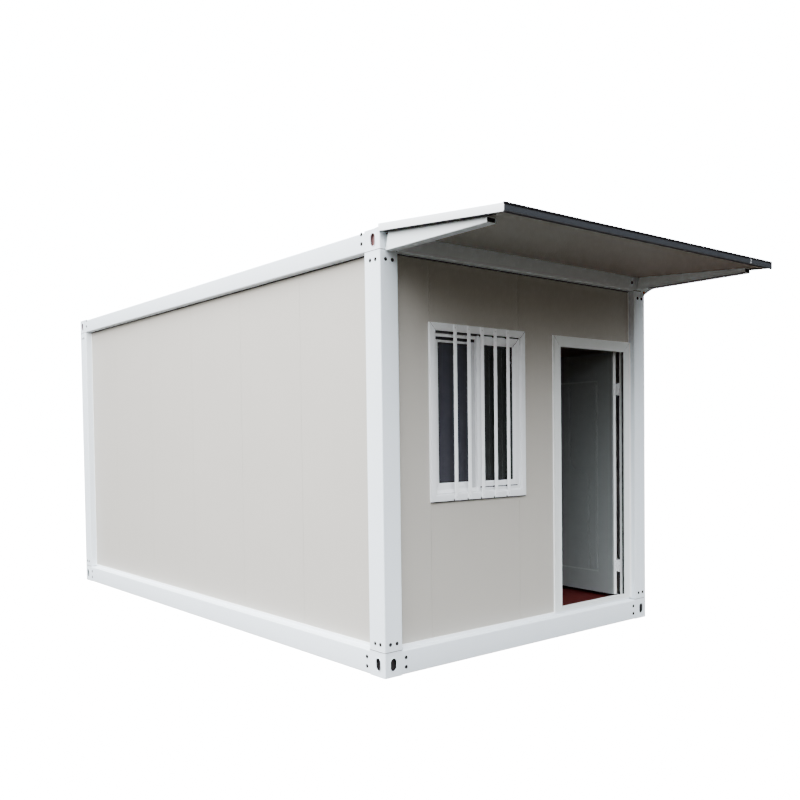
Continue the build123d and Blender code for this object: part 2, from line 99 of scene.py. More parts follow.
# Shader maths: a wrapped socket takes part in Python expressions, and every node comes from one method
class Wave:
    """A value in a material that Python's operators combine through Math nodes."""

    def __init__(self, tree, socket):
        self.tree, self.socket = tree, socket

    def maths(self, operation, *values, clamp=False):
        return self.tree.node("Math", {"operation": operation, "use_clamp": clamp}, dict(enumerate(values)))

    def __add__(self, other):
        return self.maths("ADD", self, other)

    __radd__ = __add__

    def __sub__(self, other):
        return self.maths("SUBTRACT", self, other)

    def __rsub__(self, other):
        return self.maths("SUBTRACT", other, self)

    def __mul__(self, other):
        return self.maths("MULTIPLY", self, other)

    __rmul__ = __mul__

    def __gt__(self, other):
        return self.maths("GREATER_THAN", self, other)

    def __lt__(self, other):
        return self.maths("LESS_THAN", self, other)

    def __abs__(self):
        return self.maths("ABSOLUTE", self)

    def clamped(self):
        return self.maths("ADD", self, 0.0, clamp=True)


class NodeBench:
    """A node tree in which every node comes from one method."""

    def __init__(self, tree):
        self.tree = tree

    def node(self, kind, settings=None, sockets=None, output=0):
        """A node of a type, with its settings made first and then values or links for its sockets."""
        made = self.tree.nodes.new("ShaderNode" + kind)
        for name, setting in (settings or {}).items():
            setattr(made, name, setting)
        self.feed(made, sockets or {})
        return Wave(self, made.outputs[output])

    def feed(self, node, sockets):
        for key, value in sockets.items():
            if isinstance(value, Wave):
                self.tree.links.new(value.socket, node.inputs[key])
            else:
                node.inputs[key].default_value = value


class Finish(NodeBench):
    """A material laid out on Object coordinates in metres."""

    def __init__(self, name):
        self.material = bpy.data.materials.new(name)
        self.material.use_nodes = True
        super().__init__(self.material.node_tree)
        self.shader = self.tree.nodes["Principled BSDF"]
        self.place = self.node("TexCoord", output="Object")

    def axis(self, name):
        return self.node("SeparateXYZ", sockets={0: self.place}, output=name)

    def noise(self, scale, detail=2.0, stretch=(1, 1, 1), roughness=0.5):
        """Noise whose grain is one over the scale in metres, and longer where the stretch is small."""
        spot = self.place
        if stretch != (1, 1, 1):
            spot = self.node("Mapping", sockets={"Vector": self.place, "Scale": stretch})
        sockets = {"Vector": spot, "Scale": scale, "Detail": detail, "Roughness": roughness}
        return self.node("TexNoise", sockets=sockets)

    def blend(self, factor, first, second):
        """A colour between two: each is a colour value or a link."""
        colors = {0: factor, 6: self.color(first), 7: self.color(second)}
        return self.node("Mix", {"data_type": "RGBA"}, colors, output=2)

    def color(self, value):
        return value if isinstance(value, Wave) else (*value[:3], 1.0)

    def bump(self, height, distance):
        return self.node("Bump", sockets={"Height": height, "Distance": distance, "Strength": 1.0})

    def finish(self, color, roughness, normal=None, **constants):
        """Feeds the shader: what varies goes in as links, and constants are set on its own sockets."""
        sockets = {"Base Color": self.color(color), "Roughness": roughness}
        if normal is not None:
            sockets["Normal"] = normal
        self.feed(self.shader, sockets | {key.replace("_", " "): value for key, value in constants.items()})
        return self.material


def inside_castings(f):
    """1 inside the hollow of a corner casting and 0 on its skin: every distance to an outer face is over the margin."""
    margin, middle = 0.0065, (FRONT + REAR) / 2
    across = RIGHT - abs(f.axis("X"))
    along = (REAR - FRONT) / 2 - abs(f.axis("Y") - middle)
    high = f.axis("Z")
    low = (high > margin) * (high < FLOOR_CASTING_TOP - margin)
    top = (high > ROOF_CASTING_BOTTOM + margin) * (high < ROOF_TOP - margin)
    inner = (across > margin) * (across < POST_WIDTH - margin) * (along > margin) * (along < POST_DEPTH - margin)
    return inner * (low + top)


def darker(color, share):
    return tuple(share * part for part in color[:3])


def paint_on_steel(name, color, roughness=0.34, dust=0.10, inside_primer_and_shade=None):
    """Sprayed paint on folded steel: fine orange peel, slow waves of the sheet, faint runs and dust near the ground."""
    f = Finish(name)
    mottle = f.noise(2.6, detail=5)
    runs = f.noise(16, detail=3, stretch=(1, 1, 0.07))
    foot = (1 - f.axis("Z") * 2.2).clamped() * f.noise(9, detail=6, roughness=0.65)
    worn = (mottle * 0.35 + runs * 0.25).clamped() * dust * 2 + foot * dust * 1.6
    coat = f.blend(worn.clamped(), color, darker(color, 0.55))
    # Inside the castings the given colour: primer in the roof castings, near-black painted shade in the floor castings.
    if inside_primer_and_shade:
        coat = f.blend(inside_castings(f), coat, inside_primer_and_shade)
    height = f.noise(330, detail=2) * 0.00012 + f.noise(2.1, detail=1) * 0.004
    sheen = roughness + mottle * 0.10 + foot * 0.3
    return f.finish(coat, sheen, f.bump(height, 1.0), Coat_Weight=0.15, Coat_Roughness=0.2)


def coated_skin(name, color, roughness=0.42):
    """Factory-coated panel skin: each sheet is slightly its own shade, with rolling lines along it and soft dents."""
    f = Finish(name)
    rolled = f.noise(24, detail=3, stretch=(1, 1, 0.03))
    cloud = f.noise(0.9, detail=4)
    smudge = f.noise(5.5, detail=6, roughness=0.7)
    foot = (1 - f.axis("Z") * 1.4).clamped()
    worn = cloud * 0.10 + rolled * 0.05 + smudge * foot * 0.10
    coat = f.blend(worn.clamped(), color, darker(color, 0.6))
    height = f.noise(1.7, detail=2) * 0.006 + rolled * 0.00018 + f.noise(420, detail=1) * 0.00004
    sheen = roughness + smudge * 0.08
    return f.finish(coat, sheen, f.bump(height, 1.0))


def smooth_plastic(name, color):
    """Extruded white plastic: draw lines along the bars, a faint sink of the surface and settled dust."""
    f = Finish(name)
    drawn = f.noise(90, detail=2, stretch=(1, 1, 0.05))
    dusty = f.noise(14, detail=5)
    coat = f.blend((dusty * 0.10 + drawn * 0.05).clamped(), color, darker(color, 0.6))
    height = drawn * 0.00005 + f.noise(7, detail=2) * 0.0003
    return f.finish(coat, 0.28 + dusty * 0.12, f.bump(height, 1.0), Coat_Weight=0.2, Coat_Roughness=0.12)


def tinted_glass(name, color):
    """Tinted glass: almost clear of relief, with a film of dust that is thicker at the foot and dulls the gloss."""
    f = Finish(name)
    film = f.noise(11, detail=6, roughness=0.6)
    low = (1.6 - f.axis("Z")).clamped() * 0.6
    dust = (film * (0.03 + low * 0.09)).clamped()
    tint = f.blend(dust, color, (0.42, 0.42, 0.40))
    height = f.noise(3.2, detail=1) * 0.0008
    return f.finish(tint, 0.03 + dust * 1.6, f.bump(height, 1.0), Specular_IOR_Level=0.22, Alpha=0.93, IOR=1.5)


def brushed_metal(name, color, stretch=(1, 1, 0.02)):
    """Brushed metal: long fine scratches, with duller patches."""
    f = Finish(name)
    scratch = f.noise(1500, detail=2, stretch=stretch)
    patch = f.noise(22, detail=4)
    metal = f.blend((scratch * 0.3 + patch * 0.2).clamped(), color, darker(color, 0.55))
    return f.finish(metal, 0.30 + patch * 0.14, f.bump(scratch, 0.00005), Metallic=1.0)


def black_rubber(name, color):
    """Matte rubber or soft sealing strip with a fine skin and grey bloom."""
    f = Finish(name)
    bloom = f.noise(60, detail=5, roughness=0.7)
    skin = f.blend((bloom * 0.10).clamped(), color, (0.10, 0.10, 0.10))
    relief = f.bump(f.noise(700, detail=2), 0.00008)
    return f.finish(skin, 0.7 + bloom * 0.2, relief, Specular_IOR_Level=0.12)


def sealant(name, color):
    """Tooled silicone: a soft waxy bead with small ripples."""
    f = Finish(name)
    ripple = f.noise(55, detail=2)
    bead = f.blend((ripple * 0.12).clamped(), color, darker(color, 0.6))
    return f.finish(bead, 0.38 + ripple * 0.1, f.bump(ripple, 0.0006))


def zinc(name, color, roughness=0.45):
    """Plated fastener: dull metal with blotches of zinc bloom and a trace of grime in the recesses."""
    f = Finish(name)
    blotch = f.noise(260, detail=3)
    plate = f.blend((blotch * 0.7).clamped(), color, darker(color, 0.45))
    return f.finish(plate, roughness + blotch * 0.2, f.bump(blotch, 0.00006), Metallic=0.8)


def vinyl_floor(name, color):
    """Red-brown sheet floor: flecks of a darker and a lighter brown, a pressed grain and scuffs from feet."""
    f = Finish(name)
    fleck = f.noise(210, detail=3, roughness=0.6)
    cloud = f.noise(3.5, detail=5, roughness=0.6)
    scuff = (f.noise(18, detail=6, stretch=(1, 0.25, 1), roughness=0.75) - 0.52).clamped() * 1.6
    sheet = f.blend((fleck * 0.9 - 0.1).clamped(), darker(color, 0.7), darker(color, 1.35))
    sheet = f.blend((cloud * 0.3 + scuff * 0.4).clamped(), sheet, darker(color, 0.5))
    return f.finish(sheet, 0.6 + scuff * 0.3, f.bump(fleck, 0.0003), Specular_IOR_Level=0.15)


def primed_steel(name, color):
    """Grey primer over rolled steel: mill scale blotches, thin rust at the edges of the spray and a dry skin."""
    f = Finish(name)
    blotch = f.noise(6, detail=6, roughness=0.65)
    rust = (f.noise(31, detail=7, roughness=0.75) - 0.60).clamped() * 3.0
    coat = f.blend((blotch * 0.5).clamped(), color, darker(color, 0.6))
    coat = f.blend(rust.clamped(), coat, (0.20, 0.085, 0.04))
    return f.finish(coat, 0.62 + rust * 0.3, f.bump(f.noise(380, detail=3) + rust * 0.6, 0.0002), Metallic=0.15)


def weathered_roof(name, color):
    """Coated roof sheet: rain runs down the flats, dust drifted beside the ribs and fine spangle."""
    f = Finish(name)
    runs = f.noise(7, detail=5, stretch=(1, 0.08, 1), roughness=0.65)
    drift = f.noise(2.2, detail=5)
    spangle = f.node("TexVoronoi", sockets={"Vector": f.place, "Scale": 60.0}, output="Distance")
    coat = f.blend((runs * 0.35 + drift * 0.25).clamped(), color, darker(color, 0.55))
    coat = f.blend((spangle * 0.12).clamped(), coat, darker(color, 1.3))
    return f.finish(coat, 0.36 + runs * 0.25, f.bump(runs * 0.0003 + drift * 0.004, 1.0), Metallic=0.25)


def studio_board(name, color, glow):
    """The pale studio floor: a smooth board with a faint grain that glows a little, as on a light table."""
    f = Finish(name)
    grain = f.noise(3.0, detail=3)
    board = f.blend((grain * 0.04).clamped(), color, darker(color, 0.8))
    return f.finish(board, 0.9, Emission_Color=(1, 1, 1, 1), Emission_Strength=glow, Specular_IOR_Level=0.0)


# Shapes: a piece is a stack of rings of points, drawn as whole arrays
def unit(vectors):
    return vectors / np.linalg.norm(vectors, axis=-1, keepdims=True)


def eased(outline, reach, steps=4):
    """A closed outline with rounded corners: each corner becomes the parabola that starts and ends at the points
    reach away from it on its two edges, (1-t)^2 A + 2t(1-t) P + t^2 B."""
    corners = np.asarray(outline, float)
    back, on = np.roll(corners, 1, 0) - corners, np.roll(corners, -1, 0) - corners
    reach = np.broadcast_to(reach, len(corners)).astype(float)
    room = 0.49 * np.minimum(np.linalg.norm(back, axis=1), np.linalg.norm(on, axis=1))
    reach = np.minimum(reach, room)[:, None]
    first, last = corners + unit(back) * reach, corners + unit(on) * reach
    t = np.linspace(0, 1, steps + 1)[None, :, None]
    arcs = (1 - t) ** 2 * first[:, None] + 2 * t * (1 - t) * corners[:, None] + t ** 2 * last[:, None]
    return arcs.reshape(-1, corners.shape[1])


def rectangle(low_u, high_u, low_v, high_v):
    return np.array([(low_u, low_v), (high_u, low_v), (high_u, high_v), (low_u, high_v)])


def disc(radius, sides=16, half=False):
    """Points on a circle, or on the half of it above the first axis."""
    angle = np.linspace(0, math.pi, sides) if half else np.arange(sides) * 2 * math.pi / sides
    return radius * np.stack([np.cos(angle), np.sin(angle)], -1)


def run(outline, start, end, side, up):
    """An outline carried straight from start to end: each point is start or end plus u times side and v times up."""
    stations = np.stack([np.asarray(start, float), np.asarray(end, float)], -2)[..., :, None, :]
    return stations + outline[:, :1] * np.asarray(side, float) + outline[:, 1:] * np.asarray(up, float)


def block(low, high, ease=0.001):
    """A bar between two corners with eased long edges: a rounded rectangle carried along its longest side."""
    low, high = np.asarray(low, float), np.asarray(high, float)
    along = int(np.argmax(high - low))
    side, up = [index for index in range(3) if index != along]
    outline = eased(rectangle(low[side], high[side], low[up], high[up]), ease)
    rings = np.empty((2, len(outline), 3))
    rings[..., side], rings[..., up] = outline[:, 0], outline[:, 1]
    rings[0, :, along], rings[1, :, along] = low[along], high[along]
    return rings


def swept(outline, path, across, closed=False, scale=1.0):
    """An outline carried along a path. At each point the tangent t comes from the neighbours on both sides, the
    first axis is the unit of t cross the given direction, and the second is that axis cross t."""
    path = np.asarray(path, float)
    if closed:
        tangent = np.roll(path, -1, 0) - np.roll(path, 1, 0)
    else:
        tangent = np.gradient(path, axis=0)
    tangent = unit(tangent)
    first = unit(np.cross(tangent, np.broadcast_to(across, path.shape)))
    second = np.cross(first, tangent)
    scale = np.broadcast_to(scale, len(path))[:, None, None]
    rings = path[:, None] + scale * (outline[None, :, :1] * first[:, None] + outline[None, :, 1:] * second[:, None])
    return np.concatenate([rings, rings[:1]]) if closed else rings


def turned(profile, centers, axis, sides=16):
    """Pairs of radius and height turned about an axis at every centre: radius times cosine and sine of the angle
    along two directions across the axis, plus height along the axis."""
    profile = np.asarray(profile, float)
    centers = np.atleast_2d(np.asarray(centers, float))
    axes = unit(np.broadcast_to(np.asarray(axis, float), centers.shape))
    helper = np.where(np.abs(axes[:, 2:]) > 0.9, (1.0, 0.0, 0.0), (0.0, 0.0, 1.0))
    first = unit(np.cross(helper, axes))
    second = np.cross(axes, first)
    around = disc(1.0, sides)
    ring = around[:, :1] * first[:, None] + around[:, 1:] * second[:, None]
    spread = profile[:, 0][None, :, None, None] * ring[:, None]
    return centers[:, None, None] + spread + (profile[:, 1][None, :, None, None] * axes[:, None, None])


def mitred(outline, low, high, gap=0.0, sides=(0, 1, 2, 3)):
    """A section carried round an upright rectangle in the front wall. The section's pairs are the distance in from
    the rectangle and the depth behind the front plane. Each side ends on its corners' diagonals, half the gap away."""
    outline = np.asarray(outline, float)
    corners = rectangle(low[0], high[0], low[1], high[1])
    inward = np.array([(1, 1), (-1, 1), (-1, -1), (1, -1)])
    along = unit(np.roll(corners, -1, 0) - corners)[:, None]
    starts = corners[:, None] + inward[:, None] * outline[None, :, :1] + along * gap / 2
    ends = np.roll(corners, -1, 0)[:, None] + np.roll(inward, -1, 0)[:, None] * outline[None, :, :1] - along * gap / 2
    flat = np.stack([starts, ends], 1)[list(sides)]
    depth = np.broadcast_to(FRONT + outline[:, 1], flat.shape[:3])
    return np.stack([flat[..., 0], depth, flat[..., 1]], -1)


def signed_volumes(corners):
    """The volume that each copy's faces enclose, negative where they point inwards: a sum of triple products."""
    a, b, c = corners[..., 0, :], corners[..., 1:-1, :], corners[..., 2:, :]
    return np.einsum("...i,...ji->...", a, np.cross(b, c)).sum(-1)


def make(name, finish, slot, *stacks, body="root", replaces=(), bevel=0.0, sharp=32):
    """One piece from stacks of rings: quads join neighbouring rings, the end rings are closed by flat caps, and a
    copy that comes out inside out is turned round."""
    points, faces, count = [], [], 0
    for stack in stacks:
        rings = np.asarray(stack, float)
        rings = rings.reshape(-1, *rings.shape[-3:])
        copies, stations, sides = rings.shape[:3]
        flat = rings.reshape(copies, -1, 3)
        ids = np.arange(stations * sides).reshape(stations, sides)
        around = np.concatenate([ids, ids[:, :1]], 1)
        quads = np.stack([around[:-1, :-1], around[:-1, 1:], around[1:, 1:], around[1:, :-1]], -1).reshape(-1, 4)
        caps = np.stack([ids[0, ::-1], ids[-1]])
        middle = flat.mean(1, keepdims=True)
        volume = signed_volumes((flat - middle)[:, quads]) + signed_volumes((flat - middle)[:, caps])
        starts = count + np.arange(copies) * stations * sides
        for start, inside_out in zip(starts, volume < 0):
            for group in (quads, caps):
                faces += (start + (group[:, ::-1] if inside_out else group)).tolist()
        points.append(flat.reshape(-1, 3))
        count += flat.shape[0] * flat.shape[1]
    mesh = bpy.data.meshes.new(name)
    mesh.from_pydata(np.concatenate(points), [], faces)
    mesh.shade_smooth()
    mesh.set_sharp_from_angle(angle=math.radians(sharp))
    mesh.materials.append(finish)
    piece = bpy.data.objects.new(name, mesh)
    bpy.context.scene.collection.objects.link(piece)
    if bevel:
        edge = piece.modifiers.new("edge", "BEVEL")
        edge.width, edge.segments, edge.limit_method, edge.angle_limit = bevel, 2, "ANGLE", math.radians(40)
    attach(piece, body)
    if replaces:
        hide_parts(*replaces)
    return piece


def dress(finish, *nodes):
    """Puts a finish on CAD nodes in place of their plain colour."""
    for node in nodes:
        for place in frame["nodes"][node].material_slots:
            place.material = finish


def mirrored_to_corners(places, facing):
    """Places and directions given from the left front corner, as distances inwards along the front, inwards from
    it, and up, mirrored to all four corners."""
    places = np.asarray(places, float)
    facing = np.broadcast_to(np.asarray(facing, float), places.shape)
    signs = np.array([(1, 1, 1), (-1, 1, 1), (1, -1, 1), (-1, -1, 1)], float)[:, None]
    corners = np.where(signs > 0, (LEFT, FRONT, 0), (RIGHT, REAR, 0))
    return (corners + signs * places).reshape(-1, 3), (signs * facing).reshape(-1, 3)


def color_setting(name, description, default):
    return bpy.props.FloatVectorProperty(
        name=name, description=description, default=default, subtype="COLOR", min=0, max=1)


def length_setting(name, description, default):
    return bpy.props.FloatProperty(name=name, description=description, default=default, unit="LENGTH")


def lengths_setting(name, description, default):
    return bpy.props.FloatVectorProperty(
        name=name, description=description, default=default, size=len(default), unit="LENGTH")


class FrameSettings(bpy.types.PropertyGroup):
    """The steel frame: its paint, folds, bolts and casting slots."""

    paint: color_setting("Frame Paint", "Colour of posts, beams and castings", (0.83, 0.89, 0.94))
    primer: color_setting("Casting Primer", "Colour inside the hollow corner castings", (0.17, 0.078, 0.075))
    # The bolts are near black as painted shade: it stands for the shaded holes round their heads.
    bolt_shade_color: color_setting("Bolts", "Colour of the sunk bolts", (0.010, 0.008, 0.008))
    bend: length_setting("Bend", "Reach of the rounded folds of the beams", 0.009)
    steel: length_setting("Steel", "Thickness of the folded steel", 0.004)
    floor_lip: length_setting("Floor Beam Lip", "Width of the lower flange of the floor beams", 0.060)
    ground_gap: length_setting("Ground Gap", "Height of the floor beams' undersides above the ground", 0.002)
    tuck: length_setting("Tuck", "How far the beams reach into the castings", 0.0085)
    roof_lip: length_setting("Roof Beam Lip", "Width of the upper flange of the roof beams", 0.045)
    bolt_radius: length_setting("Bolt Radius", "Radius of the bolt heads", 0.0098)
    slot_size: lengths_setting("Casting Slot", "Height and width of the slots in the castings", (0.084, 0.052))
    slot_inset: length_setting("Slot Inset", "Distance of a slot's middle from the corner", 0.068)
    floor_slot_level: length_setting("Floor Slot Level", "Height of the slots in the floor castings", 0.080)
    roof_slot_level: length_setting("Roof Slot Level", "Height of the slots above the roof castings' foot", 0.066)


class OBJECT_OT_house_frame(bpy.types.Operator):
    """Paint the posts and castings and fold the floor and roof beams out of sheet"""

    bl_idname = "house.frame"
    bl_label = "Steel Frame"

    def execute(self, context):
        s = context.scene.house_frame
        paint = paint_on_steel("frame_paint", s.paint)
        dress(paint, "post_front_left", "post_front_right", "post_rear_left", "post_rear_right")
        # The floor castings' primer is darkened almost to black: painted shade in their hollows. The roof castings show
        # the primer itself.
        for level, primer in (("floor", darker(s.primer, 0.08)), ("roof", s.primer)):
            dress(paint_on_steel(f"{level}_casting_paint", s.paint, inside_primer_and_shade=primer), f"{level}_corner_castings")
        for level, lip in (("floor", s.floor_lip), ("roof", s.roof_lip)):
            for side in ("left", "right", "front", "rear"):
                self.fold_beam(s, paint, level, side, lip)
        return {"FINISHED"}

    def fold_beam(self, s, paint, level, side, lip):
        """A channel section with rounded bends, carried from one end of its CAD beam to the other. The wide flange
        is above on the floor and below on the roof."""
        node = f"{level}_beam_{side}"
        low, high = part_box(node)
        if level == "floor":
            low.z = s.ground_gap
        lengthways = side in ("left", "right")
        wide = high.x - low.x if lengthways else high.y - low.y
        under, over = (lip, wide) if level == "floor" else (wide, lip)
        outline = [(0, low.z), (under, low.z), (under, low.z + s.steel), (s.steel, low.z + s.steel),
                   (s.steel, high.z - s.steel), (over, high.z - s.steel), (over, high.z), (0, high.z)]
        tip, inner = s.steel * 0.3, s.bend - s.steel
        outline = eased(outline, [s.bend, tip, tip, inner, inner, tip, tip, s.bend], steps=5)
        inward = {"left": ACROSS, "right": (-1, 0, 0), "front": INWARD, "rear": (0, -1, 0)}[side]
        foot = {"left": low, "right": (high.x, low.y, 0), "front": low, "rear": (low.x, high.y, 0)}[side]
        along = np.array(INWARD if lengthways else ACROSS)
        start = np.array((foot[0], foot[1], 0)) - along * s.tuck
        end = start + along * (2 * s.tuck + (high.y - low.y if lengthways else high.x - low.x))
        make(f"{level}_channel_{side}", paint, "frame_paint", run(outline, start, end, inward, UP),
             replaces=(node,))


class OBJECT_OT_house_fasteners(bpy.types.Operator):
    """Bolt the beams and posts to the castings, ease the casting slots and draw the joints above and below"""

    bl_idname = "house.fasteners"
    bl_label = "Bolts and Slots"

    def execute(self, context):
        s = context.scene.house_frame
        # Near-black bolt heads: painted shade of the bolt holes.
        bolt = black_rubber("sunk_bolt_painted_shade", s.bolt_shade_color)
        paint = paint_on_steel("rim_paint", s.paint, roughness=0.25)
        along, levels = (0.045, 0.098), (FLOOR_CASTING_TOP + 0.048, ROOF_CASTING_BOTTOM - 0.058)
        beam_levels = (0.049, 0.110, ROOF_CASTING_BOTTOM + 0.060, ROOF_CASTING_BOTTOM + 0.120)
        beam_inset = 0.027
        front = [(x, 0, z) for z in levels for x in along] + [(POST_WIDTH + beam_inset, 0, z) for z in beam_levels]
        side = [(0, y, z) for z in levels for y in along] + [(0, POST_DEPTH + beam_inset, z) for z in beam_levels]
        r = s.bolt_radius
        head = [(r * 1.25, -0.0004), (r * 1.25, 0.0006), (r, 0.0007), (r, 0.0018),
                (r * 0.75, 0.0034), (r * 0.45, 0.0036), (r * 0.40, 0.0012), (r * 0.05, 0.0012)]
        stacks = [turned(head, *mirrored_to_corners(front, (0, -1, 0))),
                  turned(head, *mirrored_to_corners(side, (-1, 0, 0)))]
        make("frame_bolts", bolt, "frame_paint", *stacks)
        self.ease_slots(s, paint)
        self.line_castings(s)
        self.draw_joints()
        return {"FINISHED"}

    def ease_slots(self, s, paint):
        """A rounded lip round each slot: a small circle carried round the slot's outline of two half circles."""
        height, width = s.slot_size
        straight = (height - width) / 2
        arch = disc(width / 2, 13, half=True)
        track = np.concatenate([arch + (0, straight), -arch - (0, straight)])
        rims = []
        for level in (s.floor_slot_level, ROOF_CASTING_BOTTOM + s.roof_slot_level):
            for normal, across in (((0, -1, 0), ACROSS), ((-1, 0, 0), INWARD)):
                middle = np.array(across) * s.slot_inset + (0, 0, level)
                path = middle + track[:, :1] * np.array(across) + track[:, 1:] * np.array(UP)
                places, facing = mirrored_to_corners(path, normal)
                for corner, direction in zip(places.reshape(4, -1, 3), facing.reshape(4, -1, 3)[:, 0]):
                    rims.append(swept(disc(0.0026, 8), corner, direction, closed=True))
        make("casting_slot_rims", paint, "frame_paint", *rims)

    def line_castings(self, s):
        """A primed core in the hollow of each casting: a block that leaves a gap behind its slotted faces. In the floor
        castings its primer is near black, as painted shade.
        """
        for level, foot, top, color in (("floor", 0.014, FLOOR_CASTING_TOP - 0.010, darker(s.primer, 0.03)),
                                        ("roof", ROOF_CASTING_BOTTOM + 0.010, ROOF_TOP - 0.014, s.primer)):
            rings = np.array([block((0.016, 0.016, foot), (POST_WIDTH - 0.012, POST_DEPTH - 0.012, top))])
            places, _ = mirrored_to_corners(rings.reshape(-1, 3), UP)
            make(f"{level}_casting_cores", primed_steel(f"{level}_core_primer_and_shade", color), "frame_paint",
                 places.reshape(4, *rings.shape[1:]))

    def draw_joints(self):
        """A dark hairline round each post where it stands on and under a casting."""
        seal = black_rubber("joint_shadow", (0.035, 0.025, 0.022))
        loops = []
        outline = eased(rectangle(0, POST_WIDTH, 0, POST_DEPTH), 0.009)
        for level in (FLOOR_CASTING_TOP, ROOF_CASTING_BOTTOM):
            path = np.column_stack([outline, np.full(len(outline), level)])
            places, _ = mirrored_to_corners(path, UP)
            loops += [swept(disc(0.0018, 6), loop, UP, closed=True) for loop in places.reshape(4, -1, 3)]
        make("post_joint_lines", seal, "frame_paint", *loops)


class WallSettings(bpy.types.PropertyGroup):
    """The sandwich panels, their tracks and their seals."""

    skin: color_setting("Panel Skin", "Colour of the wall panels", (0.435, 0.410, 0.368))
    track: color_setting("Tracks", "Colour of the wall tracks and the threshold", (0.88, 0.91, 0.94))
    strip: color_setting("Seal Strip", "Colour of the seal under the roof beams", (0.02, 0.02, 0.022))
    silicone: color_setting("Silicone", "Colour of the beads", (0.96, 0.97, 0.97))
    strip_height: length_setting("Strip Height", "Height of the seal under the roof beams", 0.007)
    bead: length_setting("Bead Radius", "Radius of the silicone beads", 0.004)


class OBJECT_OT_house_walls(bpy.types.Operator):
    """Coat the panels and tracks, seal the wall tops and run silicone down the posts and along the tracks"""

    bl_idname = "house.walls"
    bl_label = "Walls"

    def execute(self, context):
        s = context.scene.house_walls
        skin = coated_skin("panel_skin", s.skin)
        dress(skin, "left_wall_panels", "right_wall_panels", "rear_wall_panels", "front_wall_left", "front_wall_middle",
              "front_wall_below_window", "front_wall_above_window", "front_wall_over_door")
        dress(paint_on_steel("track_paint", s.track, roughness=0.3), "wall_tracks", "door_threshold")
        faces = self.outer_faces()
        rubber = black_rubber("seal_strip", s.strip)
        silicone = sealant("silicone", s.silicone)
        top, foot = ROOF_CASTING_BOTTOM, FLOOR_TOP + 0.020
        section = eased(rectangle(-0.005, 0.0005, top - s.strip_height, top), 0.0012)
        strips = [run(section, start, end, inward, UP) for start, end, inward in faces]
        make("wall_top_seals", rubber, "panel_skin", *strips)
        rod = disc(s.bead, 10)
        uprights = [run(rod, place + (0, 0, foot), place + (0, 0, top - s.strip_height), ACROSS, INWARD)
                    for start, end, _ in faces for place in (start, end)]
        make("post_beads", silicone, "panel_skin", *uprights)
        low = [run(rod * 0.6 + (0, foot), start, self.foot_end(end, inward), inward, UP)
               for start, end, inward in faces]
        make("track_beads", silicone, "panel_skin", *low)
        return {"FINISHED"}

    def outer_faces(self):
        """The line of each wall's outer face at the ground, from post to post, with the direction into the house."""
        left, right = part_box("left_wall_panels")[0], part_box("right_wall_panels")[1]
        front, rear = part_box("front_wall_left")[0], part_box("rear_wall_panels")[1]
        a, b = LEFT + POST_WIDTH, RIGHT - POST_WIDTH
        c, d = FRONT + POST_DEPTH, REAR - POST_DEPTH
        lines = (((left.x, c), (left.x, d), ACROSS), ((right.x, c), (right.x, d), (-1, 0, 0)),
                 ((a, rear.y), (b, rear.y), (0, -1, 0)), ((a, front.y), (b, front.y), INWARD))
        return [(np.array((*start, 0)), np.array((*end, 0)), inward) for start, end, inward in lines]

    def foot_end(self, end, inward):
        """On the front wall the bead stops at the door frame."""
        return np.array((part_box("door_frame")[0].x, end[1], 0)) if inward == INWARD else end


class WindowSettings(bpy.types.PropertyGroup):
    """The barred sliding window."""

    plastic: color_setting("Window Plastic", "Colour of frame and sashes", (0.83, 0.845, 0.86))
    bars: color_setting("Bars", "Colour of the guard bars", (0.97, 0.985, 1.0))
    # Both panes are one glass: the right pane's darker tint is painted shade.
    glass: color_setting("Glass", "Tint of the left pane", (0.033, 0.033, 0.044))
    shaded_glass: color_setting("Shaded Glass", "Tint of the right pane", (0.011, 0.013, 0.013))
    mitre: length_setting("Mitre", "Width of the joint line at the corners", 0.0012)
    band: length_setting("Frame Band", "Width of the frame's face", 0.050)
    overlap: length_setting("Overlap", "How far the frame laps over the panels", 0.018)
    stile: length_setting("Sash Stile", "Width of the sashes' members", 0.070)
    bar_count: bpy.props.IntProperty(name="Bars", description="Number of guard bars", default=5, min=1)
    bar_width: length_setting("Bar Width", "Width of a guard bar", 0.030)
    bar_shift: length_setting("Bar Shift", "How far the row of bars sits to the right", 0.026)
    left_trim: length_setting("Left Trim", "How much narrower the frame's left edge is", 0.014)


